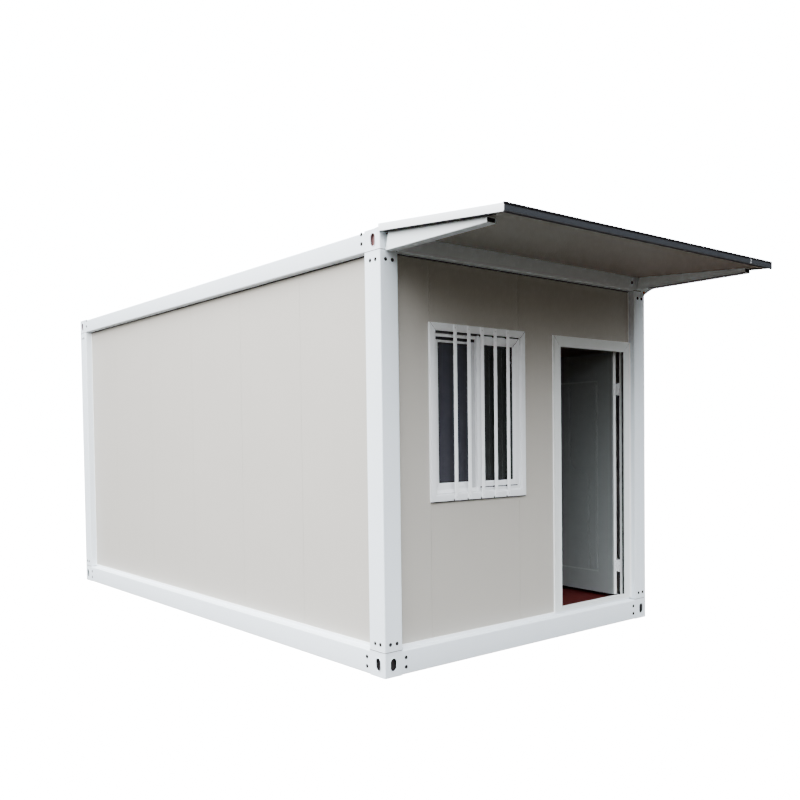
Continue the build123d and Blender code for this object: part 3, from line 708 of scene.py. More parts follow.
class OBJECT_OT_house_window(bpy.types.Operator):
    """Mitre the window frame and its two sashes, glaze them, and put the guard bars over them"""

    bl_idname = "house.window"
    bl_label = "Window"

    def execute(self, context):
        s = context.scene.house_window
        plastic = smooth_plastic("window_plastic", s.plastic)
        # One near-black rubber for the gaskets at the glass and for the strips of painted shade in the track.
        rubber = black_rubber("window_gasket_and_painted_shade", (0.018, 0.018, 0.02))
        # The right pane's darker tint is painted shade on the same glass.
        dress(tinted_glass("window_glass_left", s.glass), "window_pane_inner")
        dress(tinted_glass("window_glass_right_painted_shade", s.shaded_glass), "window_pane_outer")
        low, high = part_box("window_frame")
        low.x += s.left_trim
        face, back = low.y - FRONT, high.y - FRONT
        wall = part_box("front_wall_left")[0].y - FRONT
        lip = 0.008
        section = [(0, wall), (0, face + 0.0015), (0.0015, face), (s.band - lip, face), (s.band - lip, face + 0.003),
                   (s.band, face + 0.003), (s.band, back), (s.overlap, back), (s.overlap, wall)]
        frame_bars = mitred(eased(section, 0.0012, 3), (low.x, low.z), (high.x, high.z), s.mitre)
        make("window_surround", plastic, "window_plastic", frame_bars, replaces=("window_frame",))
        for name in ("outer", "inner"):
            self.sash(s, plastic, rubber, name)
        self.tracks(s, rubber, (low, high), face)
        self.guard(s)
        bead = disc(0.003, 8) + (0, wall)
        around = mitred(bead, (low.x, low.z), (high.x, high.z))
        make("window_silicone", sealant("window_silicone", s.plastic), "window_plastic", around)
        return {"FINISHED"}

    def sash(self, s, plastic, rubber, name):
        """Four mitred members with a sloping glazing bead, and a gasket against the glass."""
        low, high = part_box(f"window_sash_{name}")
        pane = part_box(f"window_pane_{name}")[0].y - FRONT
        face, back = low.y - FRONT, high.y - FRONT
        w = s.stile
        section = [(0, face), (w - 0.024, face), (w - 0.023, face + 0.0015), (w - 0.011, face + 0.0015),
                   (w, pane - 0.003), (w, back), (0, back)]
        members = mitred(eased(section, 0.001, 3), (low.x, low.z), (high.x, high.z), s.mitre)
        make(f"window_sash_members_{name}", plastic, "window_plastic", members, replaces=(f"window_sash_{name}",))
        seal = eased(rectangle(w - 0.001, w + 0.008, pane - 0.0028, pane + 0.0002), 0.001, 3)
        make(f"window_gasket_and_painted_shade_{name}", rubber, "window_glass", mitred(seal, (low.x, low.z), (high.x, high.z)))

    def tracks(self, s, rubber, box, face):
        """The empty outer track beside the front sash: a lip above and below in a whiter plastic that paints a
        highlight, near-black strips of painted shade in the track, along the frame's head, on the front sash's rails
        and under the frame's foot, and the channel where the sashes meet, in plastic darkened as painted shade."""
        (low, high), sash = box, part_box("window_sash_outer")
        inner_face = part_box("window_sash_inner")[0].y
        x0, x1 = low.x + s.band, sash[0].x
        z0, z1 = low.z + s.band, high.z - s.band
        # The track lips are the frame's plastic in the bars' whiter colour: a painted highlight.
        white = smooth_plastic("window_lip_painted_highlight", s.bars)
        lips = [block((x0, inner_face - 0.017, z1 - 0.036), (x1, inner_face - 0.012, z1 - 0.013), 0.002),
                block((x0, inner_face - 0.017, z0 + 0.002), (x1, inner_face - 0.012, z0 + 0.028), 0.002)]
        make("window_track_lips", white, "window_plastic", *lips)
        far, front = high.x - s.band, sash[0].y
        # Painted shade: near-black strips under the top lip, along the frame's head, on the front sash's rails and
        # under the frame's foot.
        brushes = [block((x0, inner_face - 0.004, z1 - 0.054), (x1 + 0.010, inner_face, z1 - 0.036)),
                   block((x0, FRONT + face + 0.004, z1 - 0.011), (x1, inner_face - 0.012, z1)),
                   block((x1, front - 0.0012, z1 - 0.009), (far - 0.010, front, z1)),
                   block((x1 + 0.030, front - 0.0012, z0 + 0.026), (far - 0.030, front, z0 + 0.032)),
                   block((low.x + 0.002, FRONT + face + 0.004, low.z - 0.005),
                         (high.x - 0.002, low.y + 0.022, low.z + 0.0005))]
        make("window_track_shade_strips", rubber, "window_plastic", *brushes)
        # The channel where the sashes meet is the window plastic darkened: painted shade.
        grey = smooth_plastic("window_channel_painted_shade", darker(s.plastic, 0.6))
        channel = [block((x1 - 0.028, inner_face - 0.0010, z0 + 0.006), (x1 + 0.020, inner_face + 0.0004, z1 - 0.050),
                         0.0004)]
        make("window_meeting_channel", grey, "window_plastic", *channel)
        hair, top, edge = disc(0.0019, 6), sash[1].z, sash[1].x
        lines = [run(hair, (high.x - 0.002, low.y, high.z - 0.002), (far, low.y, z1), INWARD, ACROSS),
                 run(hair, (edge - 0.002, front, top - 0.002), (edge - s.stile, front, top - s.stile), INWARD, ACROSS),
                 run(hair * 0.6, (low.x + 0.002, low.y, high.z - 0.002), (x0, low.y, z1), INWARD, ACROSS)]
        make("window_mitre_lines", black_rubber("window_mitre", (0.12, 0.12, 0.12)), "window_plastic", *lines)

    def guard(self, s):
        """Flat bars with rounded long edges, held by a screw at each end, with small near-black blocks beside them on
        the frame's lip that paint the shade of the notches there.
        """
        low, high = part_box("window_bars")
        paint = paint_on_steel("bar_paint", s.bars, roughness=0.22, dust=0.03)
        pitch = (high.x - low.x - s.bar_width) / (s.bar_count - 1)
        middles = low.x + s.bar_shift + s.bar_width / 2 + pitch * np.arange(s.bar_count)
        section = eased(rectangle(-s.bar_width / 2, s.bar_width / 2, low.y, high.y), 0.0022, 5)
        start = np.column_stack([middles, np.zeros(s.bar_count), np.full(s.bar_count, low.z)])
        end = start + (0, 0, high.z - low.z)
        make("guard_bars", paint, "bar_paint", run(section, start, end, ACROSS, INWARD),
             replaces=("window_bars",), bevel=0.0008)
        head = [(0.0042, 0), (0.0042, 0.0008), (0.0030, 0.0019), (0.0010, 0.0022), (0.0008, 0.0010), (0.0002, 0.0010)]
        places = np.concatenate([start + (0, low.y, 0.020), end + (0, low.y, -0.020)])
        make("guard_screws", zinc("guard_screw", (0.80, 0.81, 0.82)), "bar_paint", turned(head, places, (0, -1, 0), 12))
        # Painted shade: small near-black blocks beside the bars for the dark notches on the frame.
        left = middles - s.bar_width / 2
        notch_shades = [block((x - 0.009, low.y + 0.004, z), (x, high.y + 0.004, z + 0.012)) for x in left
                 for z in (low.z - 0.004, high.z - 0.062)]
        notch_shades += [block((x - 0.009, low.y + 0.004, low.z + 0.070), (x, high.y + 0.004, low.z + 0.082))
                  for x in left[2:]]
        make("guard_notch_shades", black_rubber("guard_notch_shade", (0.03, 0.03, 0.03)), "bar_paint", *notch_shades)


class DoorSettings(bpy.types.PropertyGroup):
    """The door frame, its leaf, hinges and handles."""

    frame_paint: color_setting("Door Frame", "Colour of the door frame", (0.75, 0.775, 0.765))
    # The leaf's faces are painted grey as shade: the leaf is white paint like its edge.
    leaf: color_setting("Leaf", "Colour of the door leaf", (0.245, 0.262, 0.262))
    edge: color_setting("Leaf Edge", "Colour of the leaf's hinge edge", (0.96, 0.97, 0.97))
    hinges: color_setting("Hinge Paint", "Colour of the hinges and their caps", (0.80, 0.81, 0.82))
    silicone: color_setting("Door Silicone", "Colour of the beads round the frame", (0.96, 0.97, 0.97))
    hinge_height: length_setting("Hinge Height", "Height of a hinge from end to end", 0.100)
    mould_inset: length_setting("Moulding Inset", "Distance of the pressed frame from the leaf's sides", 0.158)
    mould_drop: length_setting("Moulding Drop", "Twice the drop of the pressed frame below the leaf's middle", 0.055)
    mould_height: length_setting("Moulding Margins", "Height of the plain bands above and below it together", 0.395)
    metal: color_setting("Handle Metal", "Colour of handles and lock plates", (0.62, 0.62, 0.63))
    rubber: color_setting("Gasket", "Colour of the door seals", (0.012, 0.012, 0.013))
    jamb: length_setting("Jamb", "Width of the latch jamb", 0.070)
    hinge_jamb: length_setting("Hinge Jamb", "Width of the hinge jamb", 0.084)
    head: length_setting("Head", "Height of the frame's head", 0.078)
    sill: length_setting("Sill", "Height of the frame's sill", 0.032)
    stop: length_setting("Stop", "Width of the door stop", 0.012)
    stop_depth: length_setting("Stop Depth", "Depth of the door stop behind the frame's face", 0.020)
    plate_radius: length_setting("Plate Corner", "Corner radius of the handle plates", 0.012)


class OBJECT_OT_house_door(bpy.types.Operator):
    """Finish the door frame, seal its rebate, and fit the leaf with its handles, lock plate and hinge caps"""

    bl_idname = "house.door"
    bl_label = "Door"

    def execute(self, context):
        s = context.scene.house_door
        paint = paint_on_steel("door_frame_paint", s.frame_paint, roughness=0.3)
        dress(paint, "door_frame")
        dress(self.leaf_skin(s), "door_leaf")
        dress(paint_on_steel("hinge_paint", s.hinges, roughness=0.3, dust=0.2), "door_hinges_frame", "door_hinges_leaf")
        low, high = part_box("door_frame")
        opening = ((low.x + s.jamb, low.z + s.sill), (high.x - s.hinge_jamb, high.z - s.head))
        self.line_frame(s, paint, low, high, opening)
        self.seal_rebate(s, low, high, opening)
        self.fit_leaf(s)
        self.fit_handles(s)
        return {"FINISHED"}

    def leaf_skin(self, s):
        """White on the hinge edge, which is the part of the open leaf that stands nearest the front, and grey on the
        pressed faces as painted shade on the same white paint, with a painted highlight a little lighter along the
        groove of the pressed frame."""
        f = Finish("door_skin")
        cloud, smudge = f.noise(1.4, detail=4), f.noise(6, detail=6, roughness=0.7)
        low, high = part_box("door_leaf")
        edge = f.axis("Y") < low.y + 0.0015
        sideways = abs(f.axis("Y") - (low.y + high.y) / 2) - ((high.y - low.y) / 2 - s.mould_inset)
        upwards = abs(f.axis("Z") - (low.z + high.z - s.mould_drop) / 2) - ((high.z - low.z - s.mould_height) / 2)
        centre, half_width = 0.0045, 0.0055
        ring = abs(f.node("Math", {"operation": "MAXIMUM"}, {0: sideways, 1: upwards}) + centre) < half_width
        # Painted shade: the pressed faces in grey far below the white of the edge.
        face = f.blend((cloud * 0.12 + smudge * 0.12).clamped(), s.leaf, darker(s.leaf, 0.55))
        # Painted highlight: the groove of the pressed frame a tenth of the way towards white.
        face = f.blend(ring * 0.10, face, s.edge)
        height = f.noise(2.3, detail=2) * 0.003 + f.noise(380, detail=1) * 0.00005
        return f.finish(f.blend(edge, face, s.edge), 0.34 + smudge * 0.12, f.bump(height, 1.0))

    def line_frame(self, s, paint, low, high, opening):
        """A raised lip round the opening, hairlines along the mitres, and silicone where frame meets wall and post."""
        face = low.y - FRONT
        width = 0.012
        lip = eased([(0, face + 0.001), (0, face - 0.0025), (width, face - 0.0035), (width, face + 0.001)], 0.0012, 3)
        outer = (opening[0][0] - width, opening[0][1] - width), (opening[1][0] + width, opening[1][1] + width)
        make("door_frame_lip", paint, "door_frame_paint", mitred(lip, *outer, gap=0.0008))
        hair = disc(0.0009, 6)
        corners = [((low.x, low.z), outer[0]), ((high.x, low.z), (outer[1][0], outer[0][1])),
                   ((high.x, high.z), outer[1]), ((low.x, high.z), (outer[0][0], outer[1][1]))]
        lines = [run(hair, (a[0], low.y, a[1]), (b[0], low.y, b[1]), INWARD, ACROSS) for a, b in corners[2:]]
        make("door_mitre_lines", black_rubber("mitre_shadow", (0.30, 0.31, 0.31)), "door_frame_paint", *lines)
        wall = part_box("front_wall_left")[0].y
        silicone = sealant("door_silicone", s.silicone)
        section = disc(0.005, 8) + (0, wall - FRONT)
        around = mitred(section, (low.x, low.z), (high.x, high.z), sides=(2, 3))
        upright = run(disc(0.0085, 10), (high.x, low.y, low.z), (high.x, low.y, high.z), ACROSS, INWARD)
        make("door_silicone_beads", silicone, "door_frame_paint", around, upright)

    def seal_rebate(self, s, low, high, opening):
        """Rubber on the stop all round, near-black strips along the back of the hinge jamb and in its groove that paint
        the shade of the gaps there, and the strike plate opposite.
        """
        rubber = black_rubber("door_gasket_and_painted_shade", s.rubber)
        stop = low.y - FRONT + s.stop_depth
        back = high.y - FRONT
        outer = (opening[0][0] - s.stop, opening[0][1] - s.stop), (opening[1][0] + s.stop, opening[1][1] + s.stop)
        bulb = eased(rectangle(0.002, 0.0085, stop - 0.0005, stop + 0.0036), 0.0022)
        # Painted shade: a near-black strip along the back of the hinge jamb.
        hinge_jamb_shade = eased(rectangle(-0.0002, 0.0016, stop + 0.030, back - 0.0005), 0.0006)
        make("door_stop_gasket", rubber, "door_frame_paint", mitred(bulb, *outer))
        make("door_hinge_jamb_shade", rubber, "door_frame_paint", mitred(hinge_jamb_shade, *outer, sides=(1,)))
        edge = low.y - FRONT + 0.003
        # Painted shade: a near-black strip in the hinge jamb's groove in front of the stop.
        stop_groove_shade = eased(rectangle(-0.0009, 0.0022, edge, stop - 0.0015), 0.0008)
        make("door_stop_groove_shade", rubber, "door_frame_paint", mitred(stop_groove_shade, *opening, sides=(1,)))
        metal = brushed_metal("strike_metal", s.metal)
        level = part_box("door_handles")[0].z + LOCK_RISE
        plate = block((outer[0][0] - 0.0002, FRONT + stop + 0.008, level - 0.08),
                      (outer[0][0] + 0.0012, FRONT + back - 0.006, level + 0.08), 0.0005)
        make("strike_plate", metal, "handle_metal", plate)

    def fit_leaf(self, s):
        """On the leaf: a lock plate with its latch in the free edge, a rubber sweep below, and screws in the hinges."""
        low, high = closed_box("door_leaf")
        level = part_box("door_handles")[0].z + LOCK_RISE
        middle = (low[1] + high[1]) / 2
        metal = brushed_metal("lock_metal", s.metal)
        plate = block((low[0] - 0.0012, middle - 0.011, level - 0.10), (low[0] + 0.0005, middle + 0.011, level + 0.10),
                      0.0006)
        latch = block((low[0] - 0.0038, middle - 0.006, level + 0.015), (low[0], middle + 0.006, level + 0.033), 0.0016)
        make("lock_plate", metal, "handle_metal", opened(plate), opened(latch), body="door")
        rubber = black_rubber("door_sweep_rubber", s.rubber)
        sweep = block((low[0] + 0.006, middle - 0.017, low[2] - 0.0045),
                      (high[0] - 0.006, middle + 0.017, low[2] + 0.001), 0.0012)
        make("door_sweep", rubber, "door_skin", opened(sweep), body="door")
        seam = black_rubber("leaf_seam", (0.16, 0.16, 0.16))
        folds = [block((x - 0.0004, high[1] - 0.0105, low[2] + 0.002), (x + 0.0004, high[1] - 0.0090, high[2] - 0.002),
                       0.0003)
                 for x in (low[0], high[0])]
        make("leaf_edge_seams", seam, "door_skin", *[opened(fold) for fold in folds], body="door")
        self.fit_hinges(s, high)

    def fit_hinges(self, s, high):
        """Domed caps on the hinge pins, dark washers between the knuckles and countersunk screws in the wings."""
        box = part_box("door_hinges_frame")
        height, radius = s.hinge_height, (box[1].x - box[0].x) / 2
        levels = (box[0].z + height / 2, box[1].z - height / 2)
        axis = (HINGE[0], HINGE[1])
        paint = paint_on_steel("hinge_cap_paint", s.hinges, roughness=0.25)
        dome = [(radius * share, radius * 0.9 * math.sqrt(max(0.0, 1 - share * share)))
                for share in (0.98, 0.9, 0.7, 0.45, 0.2, 0.02)]
        caps = [turned(dome, (*axis, level + up * (height / 2 - 0.0008)), (0, 0, up)) for level in levels
                for up in (-1, 1)]
        make("hinge_caps", paint, "hinge_steel", *caps)
        rubber = black_rubber("hinge_washer", s.rubber)
        flat = [(radius * 1.12, -0.0025), (radius * 1.12, 0.0025)]
        washers = [turned(flat, (*axis, level + step * height / 2), UP) for level in levels for step in (-1, 1)]
        make("hinge_washers", rubber, "hinge_steel", *washers)
        # Painted shadow: near-black plates on the jamb behind the hinges.
        backs = [block((HINGE[0] - radius - 0.004, HINGE[1] + 0.002, level - 0.056),
                       (HINGE[0] + radius + 0.004, HINGE[1] + 0.004, level + 0.056))
                 for level in levels]
        make("hinge_back_shadows", rubber, "hinge_steel", *backs)
        screw = zinc("hinge_screw", (0.50, 0.50, 0.52))
        head = [(0.0020, -0.0012), (0.0038, 0.00005), (0.0012, 0.00005), (0.0010, -0.0004), (0.0002, -0.0004)]
        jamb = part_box("door_frame")[1].x - s.hinge_jamb + s.stop - 0.002
        wing = np.array([(jamb, high[1] - 0.015, level + shift) for level in levels for shift in (-0.036, 0, 0.036)])
        make("hinge_jamb_screws", screw, "hinge_steel", turned(head, wing, (-1, 0, 0), 10))
        edge = wing.copy()
        edge[:, 0] = high[0] + 0.002
        make("hinge_leaf_screws", screw, "hinge_steel", opened(turned(head, edge, ACROSS, 10)), body="door")

    def fit_handles(self, s):
        """A rounded plate, a waisted neck and a lever with a soft bend on both faces, and a key rose below with a
        near-black slot that paints the shade of its keyhole.
        """
        low, high = closed_box("door_handles")
        leaf_low, leaf_high = closed_box("door_leaf")
        metal = brushed_metal("handle_metal", s.metal, stretch=(1, 1, 0.1))
        dark = black_rubber("keyhole_shade", (0.01, 0.01, 0.01))
        width, lever, depth = 0.040, 0.120, 0.005
        x = low[0] + width / 2
        z = (low[2] + high[2]) / 2
        pieces, keyhole_shades = [], []
        for face, outward in ((leaf_low[1], -1), (leaf_high[1], 1)):
            reach = (leaf_low[1] - low[1]) if outward < 0 else (high[1] - leaf_high[1])
            outline = eased(rectangle(-width / 2, width / 2, low[2] - z, high[2] - z), s.plate_radius, 6)
            grow = np.array([(1, 0), (1, depth * 0.6), (0.97, depth * 0.9), (0.93, depth)])
            plate = np.empty((len(grow), len(outline), 3))
            plate[..., 0] = x + outline[None, :, 0] * grow[:, :1]
            plate[..., 1] = face + outward * grow[:, 1:]
            plate[..., 2] = z + outline[None, :, 1] * grow[:, :1] ** 0.3
            level = z + 0.030
            neck = [(0.0125, depth - 0.001), (0.0125, depth + 0.005), (0.0085, depth + 0.009), (0.0075, reach - 0.018),
                    (0.0085, reach - 0.009)]
            path_t = np.linspace(0, 1, 25)
            bend = np.minimum(path_t * 6, 1)
            path = np.column_stack([
                x + np.maximum(path_t - 0.08, 0) / 0.92 * (lever - 0.009),
                face + outward * (reach - 0.018 + 0.0095 * np.sin(bend * math.pi / 2)),
                np.full(25, level) - 0.004 * path_t ** 2])
            swell = 1 - 0.25 * np.abs(2 * path_t - 1) ** 6
            grip = eased(rectangle(-0.0085, 0.0085, -0.0078, 0.0078), 0.006, 5)
            pieces += [plate, turned(neck, (x, face, level), (0, outward, 0)),
                       swept(grip, path, UP, scale=swell)]
            rose = [(0.0105, depth - 0.001), (0.0105, depth + 0.002), (0.0095, depth + 0.0028),
                    (0.0092, depth + 0.0028)]
            pieces.append(turned(rose, (x, face, z - 0.045), (0, outward, 0)))
            # Painted shade: a near-black slot on the rose for the keyhole.
            slot = rectangle(-0.0015, 0.0015, -0.005, 0.005)
            keyhole_shades.append(run(slot, (x, face + outward * (depth + 0.0022), z - 0.045),
                             (x, face + outward * (depth + 0.0032), z - 0.045), ACROSS, UP))
        make("door_lever_sets", metal, "handle_metal", *[opened(piece) for piece in pieces], body="door",
             replaces=("door_handles",), sharp=40)
        make("door_keyhole_shades", dark, "handle_metal", *[opened(hole) for hole in keyhole_shades], body="door")


class CanopySettings(bpy.types.PropertyGroup):
    """The sloping canopy with its fascia and arms."""

    skin: color_setting("Canopy Skin", "Colour of the canopy's top", (0.50, 0.50, 0.48))
    # The soffit is painted darker than the top as shade, and its warm colour towards the right is painted light.
    soffit: color_setting("Soffit", "Colour of the canopy's underside", (0.325, 0.318, 0.288))
    fascia: color_setting("Front Fascia", "Colour of the front trim", (0.0125, 0.0155, 0.021))
    side: color_setting("Side Fascia", "Colour of the side trims", (0.95, 0.97, 0.99))
    soffit_painted_warm_light: color_setting("Soffit Glow", "Colour of the underside towards the right", (0.36, 0.285, 0.248))
    arm_steel: length_setting("Arm Steel", "Thickness of the arms' steel", 0.004)
    arm_lean: length_setting("Arm Lean", "How far the top of an arm's root stands out of the wall", 0.032)
    thickness: length_setting("Thickness", "Thickness of the canopy", 0.046)
    reach: length_setting("Reach", "How far the canopy stands out of the front", 1.050)
    root: length_setting("Root", "Height of the canopy's top at the house", 2.820)
    fall: length_setting("Fall", "Fall of the canopy from the house to its edge", 0.098)
    twist: length_setting("Twist", "How much higher the edge's right end hangs than its left", 0.022)
    overhang: lengths_setting("Overhang", "How far the canopy passes the house's left and right sides", (0.006, 0.036))
    joints: lengths_setting("Fascia Joints", "Distances of the fascia's joints from the left side", (2.074, 2.504))
    arm_width: length_setting("Arm Width", "Width of the arms", 0.070)
    arm_inset: length_setting("Arm Inset", "Distance of the arms from the house's sides", 0.045)
    arm_reach: lengths_setting("Arm Reach", "Reach of the left and the right arm", (0.875, 0.930))
    arm_foot: lengths_setting("Arm Foot", "Height of the left and the right arm's underside", (2.661, 2.672))
    gusset: lengths_setting("Gusset", "Reach, drop and thickness of the gusset under the right arm",
                            (0.115, 0.056, 0.006))


class OBJECT_OT_house_canopy(bpy.types.Operator):
    """Fold the canopy's trims round its sheet, hang the soffit, set the arms, and flash and rivet it"""

    bl_idname = "house.canopy"
    bl_label = "Canopy"

    def execute(self, context):
        s = self.s = context.scene.house_canopy
        self.left, self.right = LEFT - s.overhang[0], RIGHT + s.overhang[1]
        white = paint_on_steel("canopy_side_paint", s.side, roughness=0.25, dust=0.03)
        self.lay_sheet(s)
        self.fold_fascia(s, white)
        self.seal_edges(s)
        self.set_arms(s, context.scene.house_frame.paint)
        self.flash_root(s, white)
        self.rivet_trims()
        return {"FINISHED"}

    def height(self, x, out):
        """The canopy's top: a straight fall from its root, a little less towards the right."""
        s = self.s
        share = np.asarray(out, float) / s.reach
        across = (np.asarray(x, float) - LEFT) / (RIGHT - LEFT)
        return s.root - share * (s.fall - s.twist * across)

    def band(self, outline, left, right):
        """A section of pairs, out of the wall and down from the canopy's top, carried from left to right."""
        outline = np.asarray(outline, float)
        x = np.array([left, right])[:, None]
        out, down = outline[None, :, 0], outline[None, :, 1]
        return np.stack(np.broadcast_arrays(x, FRONT - out, self.height(x, out) - down), -1)

    def rail(self, outline, start, end):
        """A section of pairs, x and down from the canopy's top, carried out from the wall."""
        outline = np.asarray(outline, float)
        out = np.array([start, end])[:, None]
        x, down = outline[None, :, 0], outline[None, :, 1]
        return np.stack(np.broadcast_arrays(x, FRONT - out, self.height(x, out) - down), -1)

    def lay_sheet(self, s):
        """The coated upper sheet, and under it the film of the soffit, painted darker as shade and warmer towards the
        right as painted warm light.
        """
        f = Finish("canopy_skin")
        runs, cloud = f.noise(9, detail=4, stretch=(1, 0.1, 1)), f.noise(1.6, detail=5)
        coat = f.blend((runs * 0.3 + cloud * 0.15).clamped(), s.skin, darker(s.skin, 0.6))
        top = f.finish(coat, 0.42 + runs * 0.2, f.bump(f.noise(1.9) * 0.004 + runs * 0.0002, 1.0))
        f = Finish("canopy_soffit_painted_shade")
        # Painted warm light: the soffit's share of the warm colour grows towards the right.
        cloud, warm = f.noise(1.3, detail=3), (f.axis("X") * 0.5 + 0.35).clamped()
        film = f.blend((warm * 0.9 + cloud * 0.3 - 0.1).clamped(), s.soffit, s.soffit_painted_warm_light)
        soffit = f.finish(film, 0.5 + cloud * 0.1, f.bump(f.noise(2.1) * 0.003 + f.noise(300, detail=1) * 0.00004, 1.0))
        edge, film_depth = s.reach - 0.002, s.thickness - 0.004
        make("canopy_sheet", top, "canopy_skin",
             self.band(rectangle(0, edge, 0.001, film_depth), self.left + 0.002, self.right - 0.002),
             replaces=("canopy_panel",))
        make("canopy_soffit_painted_shade", soffit, "canopy_skin",
             self.band(rectangle(0, edge, film_depth, s.thickness - 0.002), self.left + 0.002, self.right - 0.002))

    def fold_fascia(self, s, white):
        """Channels folded round the edges: white along the sides, dark along the front, with seams in the front."""
        t, lip, deep = 0.0015, 0.030, s.thickness
        fold = np.array([(0, 0), (lip, 0), (lip, t), (t, t), (t, deep), (0, deep)])
        fold = eased(fold, [0.002, 0.0003, 0.0003, 0.0007, 0.0003, 0.0003], 3)
        sides = [self.rail((self.left, 0) + fold, -0.004, s.reach - 0.001),
                 self.rail((self.right, 0) + fold * (-1, 1), -0.004, s.reach - 0.001)]
        make("canopy_side_fascia", white, "canopy_white_trim", *sides, replaces=("canopy_side_trims",))
        dark = paint_on_steel("canopy_fascia_paint", s.fascia, roughness=0.5, dust=0.15)
        front = self.band((s.reach, 0) + fold * (-1, 1), self.left + 0.0005, self.right)
        make("canopy_front_fascia", dark, "canopy_dark_trim", front, replaces=("canopy_front_trim",))
        seam = black_rubber("fascia_seam", (0.010, 0.010, 0.012))
        seams = [self.band(rectangle(s.reach, s.reach + 0.0006, 0.001, deep), LEFT + x - 0.001, LEFT + x + 0.001)
                 for x in s.joints]
        make("fascia_seams", seam, "canopy_dark_trim", *seams)
        x = LEFT + s.joints[1]
        make("fascia_seam_edge", white, "canopy_white_trim",
             self.band(rectangle(s.reach, s.reach + 0.0008, 0.001, deep), x + 0.001, x + 0.005))

    def seal_edges(self, s):
        """A black drip edge along the front's top and foot and down its right end, and near-black strips on the soffit
        between sides and arms and on the left side's lip that paint the shade there.
        """
        black = black_rubber("drip_edge", (0.006, 0.006, 0.007))
        rod, deep = disc(0.0065, 8), s.thickness
        drips = [self.band(rod + (s.reach, down), self.left, self.right) for down in (0.001, deep)]
        corner = np.array([(self.right, FRONT - s.reach, float(self.height(self.right, s.reach)) - down)
                           for down in (0, deep)])
        drips.append(run(disc(0.006, 8), corner[1], corner[0], INWARD, ACROSS))
        make("canopy_drip_edges", black, "canopy_dark_trim", *drips)
        inner = LEFT + s.arm_inset
        # Painted shade: near-black strips on the soffit from the side lips to the arms, and along the left side's lip.
        strips = [self.rail(rectangle(self.left + 0.0012, inner, deep - 0.003, deep + 0.0005), 0.004,
                            s.arm_reach[0] + 0.07),
                  self.rail(rectangle(-inner, self.right - 0.0012, deep - 0.003, deep + 0.0005), 0.004,
                            s.arm_reach[1] + 0.05),
                  self.rail(rectangle(self.left + 0.0012, self.left + 0.012, deep - 0.003, deep + 0.0004), 0.004,
                            s.reach - 0.004)]
        make("arm_soffit_shade_strips", black_rubber("soffit_shade_strip", (0.008, 0.008, 0.008)), "frame_paint", *strips)

    def set_arms(self, s, color):
        """Open tubes under the canopy: level below, following the soffit above, and leaning back at the root. Each is
        one surface that runs out to the tip, turns in over its rim and back along its bore, and it has a plate on the
        post and a dark cap inside its tip. A near-black rod under the inner edge of the right one paints the shade
        there, with a gusset below its root."""
        steel, lean, half = s.arm_steel, s.arm_lean, s.arm_width / 2
        # The arms' paint is the frame paint a tenth brighter: painted light.
        paint = paint_on_steel("arm_paint_painted_light", [min(1.0, part * 1.10) for part in color], dust=0.04)
        for side, middle, reach, foot in (("left", LEFT + s.arm_inset + half, s.arm_reach[0], s.arm_foot[0]),
                                          ("right", RIGHT - s.arm_inset - half, s.arm_reach[1], s.arm_foot[1])):
            rings = []
            for foot_out, top_out, wall in ((0.0, lean, 0), (reach, reach, 0), (reach, reach, steel),
                                            (0.10, 0.10, steel)):
                top = float(self.height(middle, top_out)) - s.thickness + 0.001 - wall
                low = foot + wall
                outline = eased(rectangle(-half + wall, half - wall, low, top), 0.004 - wall * 0.8, 3)
                out = foot_out + (outline[:, 1] - low) / (top - low) * (top_out - foot_out)
                rings.append(np.column_stack([middle + outline[:, 0], FRONT - out, outline[:, 1]]))
            node = f"canopy_arm_{side}"
            make(node + "_tube", paint, "frame_paint", np.array(rings), replaces=(node,), sharp=50)
            cap = block((middle - half + steel, FRONT - reach + 0.004, foot + steel),
                        (middle + half - steel, FRONT - reach + 0.012,
                         float(self.height(middle, reach)) - s.thickness - 0.002), 0.001)
            make(node + "_end_cap", black_rubber("arm_end_cap", (0.010, 0.010, 0.010)), "frame_paint", cap)
            plate = block((middle - half, FRONT - 0.0015, foot), (middle + half, FRONT + 0.004, foot + 0.10), 0.002)
            make(node + "_root_plate", paint, "frame_paint", plate)
        reach, drop, thick = s.gusset
        along = np.linspace(0, 1, 13)
        hollow = np.column_stack([reach * along, s.arm_foot[1] - drop * (1 - along) ** 1.4])
        outline = np.concatenate([hollow, [(reach, s.arm_foot[1] + 0.006), (0, s.arm_foot[1] + 0.006)]])
        edge = RIGHT - s.arm_inset
        # Painted shade: a near-black rod along the inner foot of the right arm.
        shade = run(disc(0.0035, 8), (edge - s.arm_width, FRONT - reach, s.arm_foot[1]),
                    (edge - s.arm_width, FRONT - s.arm_reach[1], s.arm_foot[1]), ACROSS, UP)
        make("arm_shade_line", black_rubber("arm_shade_line_rubber", (0.03, 0.02, 0.015)), "frame_paint", shade)
        make("arm_gusset", paint, "frame_paint",
             run(outline, (edge - thick, FRONT, 0), (edge, FRONT, 0), (0, -1, 0), UP))
        head = [(0.0095, 0), (0.0095, 0.0010), (0.0072, 0.0012), (0.0072, 0.0040), (0.0050, 0.0048), (0.0004, 0.0048)]
        spot = (edge - thick, FRONT - 0.028, s.arm_foot[1] - 0.017)
        rusty = zinc("gusset_bolt", (0.75, 0.26, 0.07), roughness=0.6)
        make("gusset_bolt", rusty, "frame_paint", turned(head, spot, (-1, 0, 0), 6))

